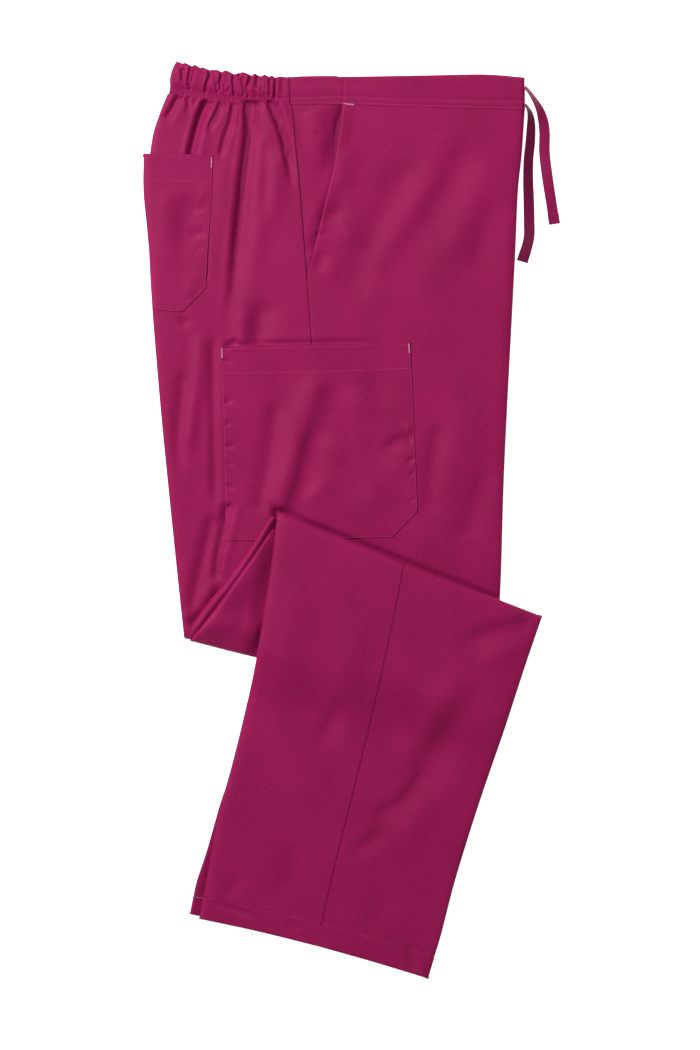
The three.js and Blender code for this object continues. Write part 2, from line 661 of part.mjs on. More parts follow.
trousers.add(waist, hips, legs);

export default trousers;
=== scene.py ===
# Medical scrub trousers in raspberry poplin, folded lengthwise and in a Z at the knee, lying flat.
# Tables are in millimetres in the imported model's frame: +Y to the waist, +X to the front fold.
import math
from collections import namedtuple

import bmesh
import bpy
import numpy as np
from mathutils import Matrix, Vector


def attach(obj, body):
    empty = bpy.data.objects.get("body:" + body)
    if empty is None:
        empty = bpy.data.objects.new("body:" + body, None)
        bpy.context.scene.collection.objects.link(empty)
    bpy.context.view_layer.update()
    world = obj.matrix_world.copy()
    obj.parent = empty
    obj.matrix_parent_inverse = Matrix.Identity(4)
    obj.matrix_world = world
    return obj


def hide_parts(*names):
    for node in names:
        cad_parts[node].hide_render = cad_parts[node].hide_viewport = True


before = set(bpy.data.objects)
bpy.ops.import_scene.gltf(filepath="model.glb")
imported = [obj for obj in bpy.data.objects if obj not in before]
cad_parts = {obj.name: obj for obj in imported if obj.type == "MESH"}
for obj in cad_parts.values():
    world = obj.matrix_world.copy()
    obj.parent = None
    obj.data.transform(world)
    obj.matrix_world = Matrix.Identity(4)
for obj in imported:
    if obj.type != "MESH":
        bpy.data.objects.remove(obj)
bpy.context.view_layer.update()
MM = 0.001

# Camera
# Straight above the bundle, as the photograph was taken, and far enough off that the folds hardly lean.
VIEW_CENTRE = (7.8, -5.3)
VIEW_HEIGHT = 1018.5
LENS = 85
SENSOR = 36
camera_data = bpy.data.cameras.new("camera")
camera_data.lens = LENS
camera_data.sensor_width = SENSOR
camera_data.clip_end = 20
camera = bpy.data.objects.new("camera", camera_data)
camera.location = (VIEW_CENTRE[0] * MM, VIEW_CENTRE[1] * MM, VIEW_HEIGHT * MM * LENS / SENSOR)
bpy.context.collection.objects.link(camera)
bpy.context.scene.camera = camera

# Drawstring ends
# Two free ends of one flat self-coloured tape that runs in the waistband. Each leaves the front fold
# on edge, turns flat, lies beside the garment and ends in a tip that is folded over.
TapeStep = namedtuple("TapeStep", "x y z tilt")
TAPE_WIDTH = 10.5
TAPE_THICK = 1.0
TAPE_TIP = 9.5
TAPE_ROOT = (-2.8, 2.2, 0)
ROOT_SHARE = 0.03
DRAWSTRINGS = {
    "drawstring_a": [
        TapeStep(179.6, 416.6, 5.2, 66),
        TapeStep(185.4, 408, 4.9, 58),
        TapeStep(191.6, 397, 3.6, 38),
        TapeStep(195, 386, 2.0, 16),
        TapeStep(196.4, 374, 1.2, 4),
        TapeStep(196.2, 358, 1.0, 0),
        TapeStep(197.6, 343, 1.4, -6),
        TapeStep(200.4, 323, 1.2, 0),
        TapeStep(203.4, 304, 1.5, 8),
        TapeStep(206, 286.5, 1.0, 0),
    ],
    "drawstring_b": [
        TapeStep(179.8, 400, 5.1, 72),
        TapeStep(182.6, 391, 4.6, 52),
        TapeStep(183.2, 380, 3.4, 34),
        TapeStep(182.4, 365, 2.8, 26),
        TapeStep(180.9, 350, 2.6, 24),
        TapeStep(180.4, 330, 2.2, 18),
        TapeStep(181, 310, 1.4, 6),
        TapeStep(181.4, 290, 1.1, -2),
        TapeStep(181, 272, 1.5, -8),
        TapeStep(174.8, 250, 1.0, 0),
    ],
}


def through(points, t):
    """A smooth curve through the points, at t from 0 to 1 along the whole run"""
    p = np.asarray(points, float)
    p = np.vstack([2 * p[0] - p[1], p, 2 * p[-1] - p[-2]])
    s = np.clip(t, 0, 1) * (len(p) - 3)
    k = np.minimum(s.astype(int), len(p) - 4)
    f = (s - k)[:, None]
    a, b, c, d = p[k], p[k + 1], p[k + 2], p[k + 3]
    bend = 2 * a - 5 * b + 4 * c - d
    return 0.5 * (2 * b + (c - a) * f + bend * f**2 + (3 * b - a - 3 * c + d) * f**3)


def ease(low, high, value):
    """From 0 at low to 1 at high, level at both"""
    t = np.clip((value - low) / (high - low), 0, 1)
    return t * t * (3 - 2 * t)


def bent_grid(name, columns, rows, place, material, grain=0.0, closed=False):
    """A grid with a vertex for each column and row value, bent by place, with the weave's UV map"""
    bm = bmesh.new()
    bmesh.ops.create_grid(bm, x_segments=len(columns) - 1, y_segments=len(rows) - 1, size=0.5)
    mesh = bpy.data.meshes.new(name)
    bm.to_mesh(mesh)
    flat = np.empty(len(mesh.vertices) * 3)
    mesh.vertices.foreach_get("co", flat)
    across = np.asarray(columns)[np.rint((flat[0::3] + 0.5) * (len(columns) - 1)).astype(int)]
    along = np.asarray(rows)[np.rint((0.5 - flat[1::3]) * (len(rows) - 1)).astype(int)]
    x, y, z = place(across, along)
    mesh.vertices.foreach_set("co", np.column_stack([x, y, z]).ravel() * MM)
    turn = math.radians(grain)
    warp = np.column_stack([x, y]) @ [[math.cos(turn), -math.sin(turn)], [math.sin(turn), math.cos(turn)]]
    corners = np.empty(len(mesh.loops), int)
    mesh.loops.foreach_get("vertex_index", corners)
    weave = mesh.uv_layers.new(name="weave")
    weave.data.foreach_set("uv", (warp[corners] * MM).ravel())
    if closed:
        bm.clear()
        bm.from_mesh(mesh)
        bmesh.ops.remove_doubles(bm, verts=bm.verts, dist=1e-6)
        bmesh.ops.holes_fill(bm, edges=bm.edges, sides=0)
        bmesh.ops.recalc_face_normals(bm, faces=bm.faces)
        bm.to_mesh(mesh)
    bm.free()
    mesh.polygons.foreach_set("use_smooth", np.ones(len(mesh.polygons), bool))
    mesh.materials.append(material)
    mesh.update()
    piece = bpy.data.objects.new(name, mesh)
    bpy.context.collection.objects.link(piece)
    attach(piece, "root")
    return piece


def woven(name, dark, light, roughness=0.48, thread=0.42):
    """Plain-dyed cotton blend: warp and weft, slubs that take the dye unevenly, and a faint sheen"""
    material = bpy.data.materials.new(name)
    material.use_nodes = True
    nodes, link = material.node_tree.nodes, material.node_tree.links.new
    shader = nodes["Principled BSDF"]
    shader.inputs["Roughness"].default_value = roughness
    shader.inputs["Specular IOR Level"].default_value = 0.075
    weave = nodes.new("ShaderNodeUVMap")
    weave.uv_map = "weave"

    def scaled(across, along):
        scale = nodes.new("ShaderNodeMapping")
        scale.inputs["Scale"].default_value = (1 / (across * MM), 1 / (along * MM), 1)
        link(weave.outputs["UV"], scale.inputs["Vector"])
        return scale.outputs["Vector"]

    def cloudy(across, along, detail):
        noise = nodes.new("ShaderNodeTexNoise")
        noise.inputs["Scale"].default_value = 1
        noise.inputs["Detail"].default_value = detail
        link(scaled(across, along), noise.inputs["Vector"])
        return noise.outputs["Fac"]

    def threads(direction):
        wave = nodes.new("ShaderNodeTexWave")
        wave.bands_direction = direction
        wave.inputs["Scale"].default_value = math.pi / 10
        wave.inputs["Distortion"].default_value = 0.5
        wave.inputs["Detail"].default_value = 0
        link(scaled(thread, thread), wave.inputs["Vector"])
        return wave.outputs["Fac"]

    def math_of(kind, *values):
        node = nodes.new("ShaderNodeMath")
        node.operation = kind
        for socket, value in zip(node.inputs, values):
            if isinstance(value, float):
                socket.default_value = value
            else:
                link(value, socket)
        return node.outputs["Value"]

    slubs = math_of("ADD", cloudy(0.9, 7.0, 2), cloudy(7.0, 0.9, 2))
    tone = math_of("MULTIPLY_ADD", slubs, 0.35, math_of("MULTIPLY", cloudy(45.0, 70.0, 3), 0.3))
    ramp = nodes.new("ShaderNodeValToRGB")
    ramp.color_ramp.elements[0].position = 0.36
    ramp.color_ramp.elements[0].color = (*dark, 1)
    ramp.color_ramp.elements[1].position = 0.64
    ramp.color_ramp.elements[1].color = (*light, 1)
    link(tone, ramp.inputs["Fac"])
    link(ramp.outputs["Color"], shader.inputs["Base Color"])
    bump = nodes.new("ShaderNodeBump")
    bump.inputs["Strength"].default_value = 0.6
    bump.inputs["Distance"].default_value = 0.06 * MM
    link(math_of("ADD", math_of("MAXIMUM", threads("X"), threads("Y")), slubs), bump.inputs["Height"])
    link(bump.outputs["Normal"], shader.inputs["Normal"])
    return material


tape_cloth = woven("tape_cloth", (0.22, 0.0074, 0.060), (0.31, 0.0110, 0.088), thread=0.6)
# The same tape cloth painted about half as bright: painted shade on the nearer end, drawstring_b.
tape_cloth_in_painted_shade = woven("tape_cloth_in_painted_shade", (0.105, 0.0044, 0.032), (0.20, 0.0080, 0.058), thread=0.6)


def tape(name, steps, weave):
    """A flat tape turned by each step's tilt, its root run on to the band's edge, its tip thickened"""
    length = sum(math.dist(a[:3], b[:3]) for a, b in zip(steps, steps[1:]))

    def place(c, r):
        line = through(steps, r)
        ahead = through(steps, np.minimum(r + 0.004, 1)) - through(steps, np.maximum(r - 0.004, 0))
        along = ahead[:, :3] / np.linalg.norm(ahead[:, :3], axis=1)[:, None]
        level = np.column_stack([-along[:, 1], along[:, 0], np.zeros(len(r))])
        level /= np.linalg.norm(level, axis=1)[:, None]
        rise = np.cross(along, level)
        turn = np.radians(line[:, 3])[:, None]
        doubled = ease(1 - TAPE_TIP / length, 1 - (TAPE_TIP - 1.2) / length, r)
        wide = np.sign(np.cos(c)) * np.abs(np.cos(c)) ** 0.4 * TAPE_WIDTH / 2 * (1 + 0.04 * doubled)
        thick = np.sign(np.sin(c)) * np.abs(np.sin(c)) ** 0.7 * TAPE_THICK / 2 * (1 + 0.7 * doubled)
        selvedge = 1 + 0.25 * ease(0.7, 0.9, np.abs(wide) * 2 / TAPE_WIDTH)
        flat_way = level * np.cos(turn) - rise * np.sin(turn)
        thick_way = level * np.sin(turn) + rise * np.cos(turn)
        root = np.clip(1 - r / ROOT_SHARE, 0, 1)[:, None] * TAPE_ROOT
        point = line[:, :3] + root + flat_way * wide[:, None] + thick_way * (thick * selvedge)[:, None]
        return point[:, 0], point[:, 1], np.maximum(point[:, 2] + 0.3 * doubled, 0.1)

    around, along = np.linspace(2 * math.pi, 0, 41), np.linspace(0, 1, 150)
    piece = bent_grid(name + "_tape", around, along, place, weave, closed=True)
    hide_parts(name)
    return piece


# drawstring_a takes the plain tape cloth, drawstring_b the copy with painted shade.
for (drawstring, drawstring_steps), plain_or_painted_shade_cloth in zip(DRAWSTRINGS.items(), (tape_cloth, tape_cloth_in_painted_shade)):
    tape(drawstring, drawstring_steps, plain_or_painted_shade_cloth)

# Waistband
# A folded casing of the same poplin, sewn to the top of the trousers by two stitched rows. Its back
# stretch, from the seat fold to the hip, is gathered on elastic; the rest lies flat over the tape.
Run = namedtuple("Run", "at length")
Edge = namedtuple("Edge", "reach drop tuck")
Fold = namedtuple("Fold", "path left right lift start end", defaults=(6, 20))
FOLDED = Edge(8, 2.4, 3.5)
CASING = Edge(3, 2.4, 2)
LOW_EDGE = Edge(4, 1.4, 1.6)
BAND_FOOT = Edge(2.5, 0.45, 0)
SEAM = Edge(1.2, 0.28, 0.8)
UNDER = Edge(1.4, 0, 0)
CLOTH = 0.6


def run(points, smooth=True):
    """A line through the points, and its length: smooth, or straight from corner to corner"""
    dense = through(points, np.linspace(0, 1, 500)) if smooth else np.asarray(points, float)
    reached = np.concatenate([[0], np.cumsum(np.linalg.norm(np.diff(dense, axis=0), axis=1))])

    def at(share):
        return np.column_stack([np.interp(share * reached[-1], reached, side) for side in dense.T])

    return Run(at, reached[-1])


def rolled(c, edge):
    """Depth in from an edge, and the drop there, for c from -1, turned under, through 0 to 1, flat"""
    over = np.clip(c, 0, 1) * math.pi / 2
    under = np.clip(-c, 0, 1) * math.pi / 2
    depth = edge.reach * (1 - np.cos(over)) + edge.tuck * (1 - np.cos(under))
    return depth, edge.drop * (1 - np.sin(over) + 0.55 * np.sin(under))


def spread(c, first, last, width):
    """Share of the width, and the drop, for c from -1 at the first edge to 4 at the last"""
    near, near_drop = rolled(c, first)
    far, far_drop = rolled(3 - c, last)
    inside = first.reach + (width - first.reach - last.reach) * (c - 1)
    distance = np.where(c < 1, near, np.where(c > 2, width - far, inside))
    return distance / width, near_drop + far_drop


def steps_over(width, first, last, spacing):
    """Values of c for spread, closer together round the edges"""
    near, far = (5 if edge.reach > 2 else 2 for edge in (first, last))
    middle = max(2, round((width - first.reach - last.reach) / spacing))
    start = np.linspace(-1 if first.tuck else 0, 1, 2 * near, endpoint=False)
    inner = np.linspace(1, 2, middle, endpoint=False)
    return np.concatenate([start, inner, np.linspace(2, 4 if last.tuck else 3, 2 * far + 1)])


def cloth(name, sides, edges, height, material, spacing=2.0, grain=0.0, thick=CLOTH):
    """A sheet between its top, right, bottom and left lines, with each edge rolled, sewn down or flat"""
    top, right, bottom, left = sides
    north, east, south, west = edges
    across = max(top.length, bottom.length)
    down = (left.length + right.length) / 2

    def place(c, r):
        v, row_drop = spread(r, north, south, down)
        u, column_drop = spread(c, west, east, across)
        lines = top.at(u).T * (1 - v) + bottom.at(u).T * v + left.at(v).T * (1 - u) + right.at(v).T * u
        ends = top.at(np.array([0.0, 1.0])), bottom.at(np.array([0.0, 1.0]))
        upper = np.outer(ends[0][0], 1 - u) + np.outer(ends[0][1], u)
        lower = np.outer(ends[1][0], 1 - u) + np.outer(ends[1][1], u)
        x, y = lines - upper * (1 - v) - lower * v
        return x, y, np.maximum(height(x, y) - row_drop - column_drop, thick + 0.15)

    columns = steps_over(across, west, east, spacing)
    rows = steps_over(down, north, south, spacing)
    piece = bent_grid(name, columns, rows, place, material, grain)
    wall = piece.modifiers.new("thickness", "SOLIDIFY")
    wall.thickness = thick * MM
    wall.offset = -1
    return piece


def folds_at(folds, x, y):
    """Height that the folds add: soft troughs or ridges along their paths, with low shoulders"""
    total = np.zeros(len(x))
    for fold in folds:
        line = through(fold.path, np.linspace(0, 1, 6 * len(fold.path)))
        margin = 4 * max(fold.left, fold.right)
        low, high = line.min(axis=0) - margin, line.max(axis=0) + margin
        near = np.flatnonzero((x > low[0]) & (x < high[0]) & (y > low[1]) & (y < high[1]))
        px, py = x[near], y[near]
        away = np.full(len(near), np.inf)
        side = np.zeros(len(near))
        reach = np.zeros(len(near))
        before = 0.0
        for a, b in zip(line, line[1:]):
            way = b - a
            length = math.hypot(*way)
            t = np.clip(((px - a[0]) * way[0] + (py - a[1]) * way[1]) / length**2, 0, 1)
            dx, dy = px - a[0] - t * way[0], py - a[1] - t * way[1]
            distance = np.hypot(dx, dy)
            closer = distance < away
            away = np.where(closer, distance, away)
            side = np.where(closer, way[0] * dy - way[1] * dx, side)
            reach = np.where(closer, before + t * length, reach)
            before += length
        wide = away / np.where(side > 0, fold.right, fold.left)
        shape = np.exp(-wide**2) - 0.16 * np.exp(-(((wide - 2.1) / 0.9) ** 2))
        taper = ease(0, fold.start, reach) * ease(0, fold.end, before - reach)
        total[near] += fold.lift * taper * shape
    return total


poplin = woven("poplin", (0.24, 0.0066, 0.064), (0.34, 0.0102, 0.094))
thread_cloth = woven("thread", (0.56, 0.044, 0.17), (0.68, 0.072, 0.25), 0.6)
tack_cloth = woven("tack_thread", (0.62, 0.28, 0.42), (0.8, 0.42, 0.58), 0.6)

BAND_SEAT = [(-159.8, 443.4), (-162.7, 438.9), (-165.5, 431.3), (-166.6, 424), (-166.4, 419), (-168, 411.5)]
BAND_HIP = [(-51.2, 428.2), (-50.4, 401.2)]
BAND_GATHERED_TOP = [
    (-159.8, 443.4), (-154.1, 441.2), (-151.6, 441.7), (-145, 438.9), (-141.4, 439.8), (-137, 436.9),
    (-135.1, 437.7), (-129, 435.4), (-121.1, 435), (-116.6, 433.4), (-112, 434.4), (-104, 431.2),
    (-95.8, 432.8), (-87.9, 430), (-84.4, 431.4), (-78.7, 429), (-74.6, 430.4), (-70.7, 428.2),
    (-67.9, 429.7), (-65.3, 427.9), (-61, 428.9), (-51.4, 428.2),
]
BAND_GATHERED_FOOT = [(-168, 411.5), (-145, 406.8), (-120, 403.8), (-94, 402.4), (-69, 401.6),
                      (-50.6, 401.2)]
BAND_FLAT_TOP = [(-51.1, 428.2), (-43.8, 429), (-24.8, 429.5), (-5.7, 429.5), (3.4, 428.8), (80.5, 430.1),
                 (137.7, 431), (176.6, 428.1)]
BAND_FLAT_FOOT = [(-50.3, 401.2), (-6, 401.6), (63, 399.2), (177.2, 396.2)]
BAND_FRONT = [(176.6, 428.1), (177.1, 412), (177.2, 396.2)]
UPPER_ROW = [(-166, 417.4), (-145.2, 415.5), (-119.9, 410.8), (-94.5, 408.6), (-51.4, 407.6), (0.8, 409),
             (56.3, 406.7), (176, 404)]
LOWER_ROW = [(-166, 412.6), (-145.2, 408.6), (-119.9, 405.6), (-94.5, 404.2), (-51.4, 403.2), (0.8, 403.6),
             (63.2, 401.2), (176, 398.2)]
BAND_GATHERS = [
    Fold([(-157.8, 441), (-157, 436)], 1, 1.2, -1, 0.1, 2),
    Fold([(-154.6, 437), (-154.2, 429), (-154, 422)], 1.6, 2.2, -2, 3, 3),
    Fold([(-145.5, 440), (-147, 432.4), (-148.7, 423.5), (-148, 418)], 1.1, 1.3, -2.3, 0.1, 2),
    Fold([(-143.6, 436), (-144.9, 426.7), (-146.5, 421.1), (-147, 415)], 1.1, 1.6, -2, 3, 2),
    Fold([(-140.6, 441), (-139.8, 436.6)], 1.4, 1.8, -1.4, 0.1, 2),
    Fold([(-135.6, 438), (-134.6, 431.6)], 1.2, 1.6, -1, 0.1, 3),
    Fold([(-128, 438), (-128, 429.2), (-129.6, 424.3), (-131.2, 419.5), (-132, 412)],
         1.3, 1.8, -2.6, 0.1, 2),
    Fold([(-124, 436), (-123.7, 427.4)], 1.2, 1.6, -1.1, 0.1, 4),
    Fold([(-116.4, 436), (-116.8, 428.4), (-118, 423.5), (-117.5, 414)], 1.1, 1.4, -2.4, 0.1, 2),
    Fold([(-121.6, 423.5), (-120.8, 415.5), (-118.6, 412)], 1.1, 1.3, -1.6, 3, 2),
    Fold([(-114.6, 420.5), (-113, 412)], 1, 1.2, -1.4, 2, 2),
    Fold([(-108, 419), (-112, 411.5)], 1, 1.2, -1.4, 2, 2),
    Fold([(-104.7, 434), (-105.2, 423.5), (-104.4, 415.5), (-103.6, 409)], 1.2, 1.6, -2.6, 0.1, 2),
    Fold([(-98, 433), (-100.2, 427)], 1.2, 1.6, -1.5, 0.1, 2),
    Fold([(-97.6, 429), (-95.1, 419.5), (-94.2, 409)], 1.4, 1.8, -1.8, 4, 2),
    Fold([(-87.3, 432), (-89.8, 423.5), (-91.8, 417.9), (-90.8, 411), (-90.6, 407)], 1.3, 1.7, -2.6, 0.1, 2),
    Fold([(-85, 415), (-82.4, 407.6)], 1, 1.3, -1.2, 2, 1.5),
    Fold([(-80.6, 431), (-81.8, 423.5), (-82.4, 416)], 1.8, 2.4, -1.7, 0.1, 3),
    Fold([(-78.2, 428), (-77.4, 413)], 1.2, 1.6, -1, 3, 3),
    Fold([(-70, 427), (-70, 409)], 1, 1.3, -1.9, 2, 2),
    Fold([(-63.3, 430), (-64.6, 420.3), (-65, 412.3), (-65.5, 406)], 1.1, 1.5, -2.3, 0.1, 2),
    Fold([(-67.2, 428), (-66.2, 423)], 0.9, 1.1, -1, 0.1, 2),
    Fold([(-74.5, 421), (-74.3, 409)], 1.2, 1.4, -0.8, 3, 2),
    Fold([(-58, 426), (-57, 410)], 2, 2, -0.5, 3, 6),
]
# Creases that fall from the elastic into the back panel, and cross the lower stitched row.
CREASES_FROM_ELASTIC = [
    Fold([(-158, 411), (-163.4, 401), (-168, 393), (-174, 385)], 2, 4.5, -3.12, 2, 12),
    Fold([(-150.4, 409), (-149, 402), (-149.6, 393)], 1.5, 2.6, -2.73, 2, 8),
    Fold([(-130, 406), (-135.4, 396), (-139, 386), (-142.8, 372.5), (-147.6, 352), (-150, 336)],
         2.7, 4.8, -5.46, 2, 16),
    Fold([(-134, 406), (-136.6, 398)], 1.2, 1.4, -1.82, 1.5, 4),
    Fold([(-116.6, 405), (-120, 396.6), (-123.4, 388.4), (-127.4, 381), (-130, 373)],
         1.8, 3.2, -2.99, 2, 10),
    Fold([(-124.6, 404), (-127, 396)], 1.2, 1.6, -1.56, 1.5, 5),
    Fold([(-105.2, 404), (-107.4, 388.9), (-110.4, 379), (-114, 369), (-117, 356), (-120.4, 347)],
         1.9, 3.4, -2.86, 2, 14),
    Fold([(-111.4, 404), (-113.6, 393)], 1.2, 1.6, -1.69, 1.5, 6),
    Fold([(-99.4, 404), (-99.8, 388), (-101, 374)], 1.6, 2, -1.82, 2, 12),
    Fold([(-90.8, 406), (-91.2, 392), (-90.4, 377), (-90.8, 367), (-92.2, 356), (-93.8, 342), (-95.8, 327),
          (-97.2, 312), (-99, 297), (-102.5, 261), (-105.8, 225), (-109.6, 200), (-113, 181)],
         3.9, 9.5, -5.8, 2, 100),
    Fold([(-87, 404), (-88, 387), (-89, 378)], 1.1, 1.3, -2.08, 1.5, 6),
    Fold([(-83, 404), (-83.2, 392), (-84.6, 375)], 1.3, 2, -2.47, 1.5, 10),
    Fold([(-71.4, 406), (-66.2, 392.9), (-62.2, 383.9), (-59, 375), (-57, 366.9), (-53.6, 354), (-50.6, 335),
          (-46.6, 312)], 2.5, 5, -4.42, 2, 50),
    Fold([(-63.4, 404), (-60, 392), (-56, 382)], 1.6, 2.6, -1.82, 2, 9),
    Fold([(-77, 404), (-78, 394)], 1.2, 1.4, -1.3, 1.5, 6),
    Fold([(-142.6, 407), (-144, 396)], 1.4, 1.8, -1.43, 1.5, 6),
]
FLAT_BAND_FOLDS = [
    Fold([(1.9, 431), (0.7, 401)], 0.9, 1.2, -0.4, 0.1, 1),
    Fold([(-38, 424), (30, 421)], 3.5, 3.5, -0.35, 10, 20),
    Fold([(60, 416), (150, 412)], 4, 4, -0.35, 20, 30),
]
PANEL_TOP = 6.1
PANEL_UNDER_BAND = 5.5
ROW_WIDTH = 1.1


def line_y(points, x):
    return np.interp(x, *np.transpose(points))


def sewn_rows(x, y):
    """How the two rows of the waistband hold it down, with the cloth puckered between them"""
    held = sum(np.exp(-(((y - line_y(row, x)) / ROW_WIDTH) ** 2)) for row in (UPPER_ROW, LOWER_ROW))
    pucker = np.sin(x * 2.15 + np.sin(x * 0.31) * 1.6) * (0.75 + 0.25 * np.sin(x * 0.57 + 1.1))
    crowded = 0.06 + 0.3 * ease(-52, -72, x)
    beside = np.exp(-(((y - line_y(LOWER_ROW, x) - 1.8) / 3) ** 2))
    return beside * crowded * pucker - 0.3 * held


def gathered_band_height(x, y):
    above = y - line_y(UPPER_ROW, x)
    elastic = ease(-56, -70, x)
    puffed = 6.5 + (0.6 + 2.2 * elastic) * ease(-4, 7, above)
    pulled = folds_at(CREASES_FROM_ELASTIC, x, y) * ease(4, -2, y - line_y(LOWER_ROW, x))
    return puffed + sewn_rows(x, y) + folds_at(BAND_GATHERS, x, y) * ease(-5, 2, above) + pulled


def flat_band_height(x, y):
    above = y - line_y(UPPER_ROW, x)
    return 6.6 + 0.5 * ease(0, 8, above) + sewn_rows(x, y) + folds_at(FLAT_BAND_FOLDS, x, y)


def under_band_height(x, y):
    return np.full(len(x), 3.6)


waistband_back = cloth(
    "gathered_waistband",
    [run(BAND_GATHERED_TOP), run(BAND_HIP), run(BAND_GATHERED_FOOT), run(BAND_SEAT)],
    [CASING, SEAM, BAND_FOOT, Edge(5, 2.6, 2.5)], gathered_band_height, poplin, spacing=0.8)
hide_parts("waistband_back")
waistband_front = cloth(
    "flat_waistband",
    [run(BAND_FLAT_TOP), run(BAND_FRONT), run(BAND_FLAT_FOOT), run([(-51.1, 428.2), (-50.3, 401.2)])],
    [CASING, Edge(4, 2.4, 2.5), BAND_FOOT, SEAM], flat_band_height, poplin, spacing=1.3)
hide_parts("waistband_front")
waistband_under = cloth(
    "far_side_waistband",
    [run([(-158.5, 442.2), (-120, 433.5), (-75, 428.6), (-40, 427.4), (90, 429), (175.2, 427)]),
     run([(175.2, 427), (175.4, 400)]), run([(-165.4, 408), (175.4, 400)]),
     run([(-158.5, 442.2), (-165.4, 408)])],
    [LOW_EDGE, LOW_EDGE, SEAM, LOW_EDGE], under_band_height, poplin, spacing=3)
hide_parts("waistband_under")

# Stitched rows are one small rounded stitch after another, in thread a little paler than the cloth.
STITCH = 2.2
STITCH_PITCH = 2.7
STITCH_RISE = 0.22
TACK_PITCH = 0.55


def stitches(name, paths, height, width=0.42, length=STITCH, pitch=STITCH_PITCH, across=False,
             material=thread_cloth):
    """Stitches along the paths, on the height given; across turns each one over its path, as in a tack"""
    bm = bmesh.new()
    for path in paths:
        line = run(path)
        stops = np.arange(0.5 * pitch, line.length, pitch) / line.length
        points = line.at(stops)
        way = line.at(np.minimum(stops + 0.001, 1)) - line.at(np.maximum(stops - 0.001, 0))
        turn = np.arctan2(way[:, 1], way[:, 0]) + (math.pi / 2 if across else 0)
        rise = height(points[:, 0], points[:, 1])
        for (x, y), z, angle in zip(points, rise, turn):
            place = Matrix.Translation(Vector((x, y, z)) * MM) @ Matrix.Rotation(angle, 4, "Z")
            place = place @ Matrix.Diagonal((length / 2 * MM, width / 2 * MM, STITCH_RISE * MM, 1))
            bmesh.ops.create_uvsphere(bm, u_segments=8, v_segments=5, radius=1, matrix=place)
    mesh = bpy.data.meshes.new(name)
    bm.to_mesh(mesh)
    bm.free()
    mesh.polygons.foreach_set("use_smooth", np.ones(len(mesh.polygons), bool))
    mesh.materials.append(material)
    piece = bpy.data.objects.new(name, mesh)
    bpy.context.collection.objects.link(piece)
    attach(piece, "root")
    return piece


def bar_tacks(name, paths, height, width=0.55, length=1.4):
    """Short dense rows that hold a corner, in paler thread"""
    return stitches(name, paths, height, width, length, TACK_PITCH, True, tack_cloth)


def part_of(points, low, high):
    """The points of a row between two x values, with its ends there"""
    inner = [p for p in points if low < p[0] < high]
    return [(low, float(line_y(points, low))), *inner, (high, float(line_y(points, high)))]


back_rows = stitches(
    "waistband_back_stitches", [part_of(UPPER_ROW, -164.5, -52.5), part_of(LOWER_ROW, -164.5, -52.5)],
    lambda x, y: gathered_band_height(x, y) - 0.12, material=poplin)
front_rows = stitches(
    "waistband_front_stitches",
    [part_of(UPPER_ROW, -49.5, 175), part_of(LOWER_ROW, -49.5, 175)], flat_band_height)
slash_tack = bar_tacks(
    "slash_bar_tack", [[(0.4, 402.5), (11.6, 401.2)]], lambda x, y: flat_band_height(x, y) + 0.1,
    0.5, 1.5)

# Hips and thigh
# The right leg's back and front panels, flat-felled at the side. The front panel is cut away by the
# slanted mouth of the hand pocket, whose facing shows behind it, and creases fall from the gathers.
SEAT_EDGE = [(-169, 412), (-177, 392), (-184, 368), (-188.5, 325), (-187.5, 271), (-184.5, 213),
             (-176.5, 116), (-169, 38.5), (-161, -39.5), (-153, -114.4)]
SIDE_SEAM = [(-49.5, 406.5), (-46.5, 385), (-44.5, 360), (-41, 325), (-36.5, 268), (-32, 208), (-25, 112),
             (-19, 35), (-13, -55), (-4.5, -150.5)]
FRONT_FOLD = [(177.5, 404), (176, 380), (174, 352), (170.5, 318), (168, 262), (165, 202), (160, 108),
              (156.5, 30), (153.5, -70), (147.5, -191.5)]
SLASH = [(1.5, 407), (0, 398), (-1.5, 381.7), (-7.8, 342), (-17.5, 302), (-28, 256.6), (-33.6, 234.4)]
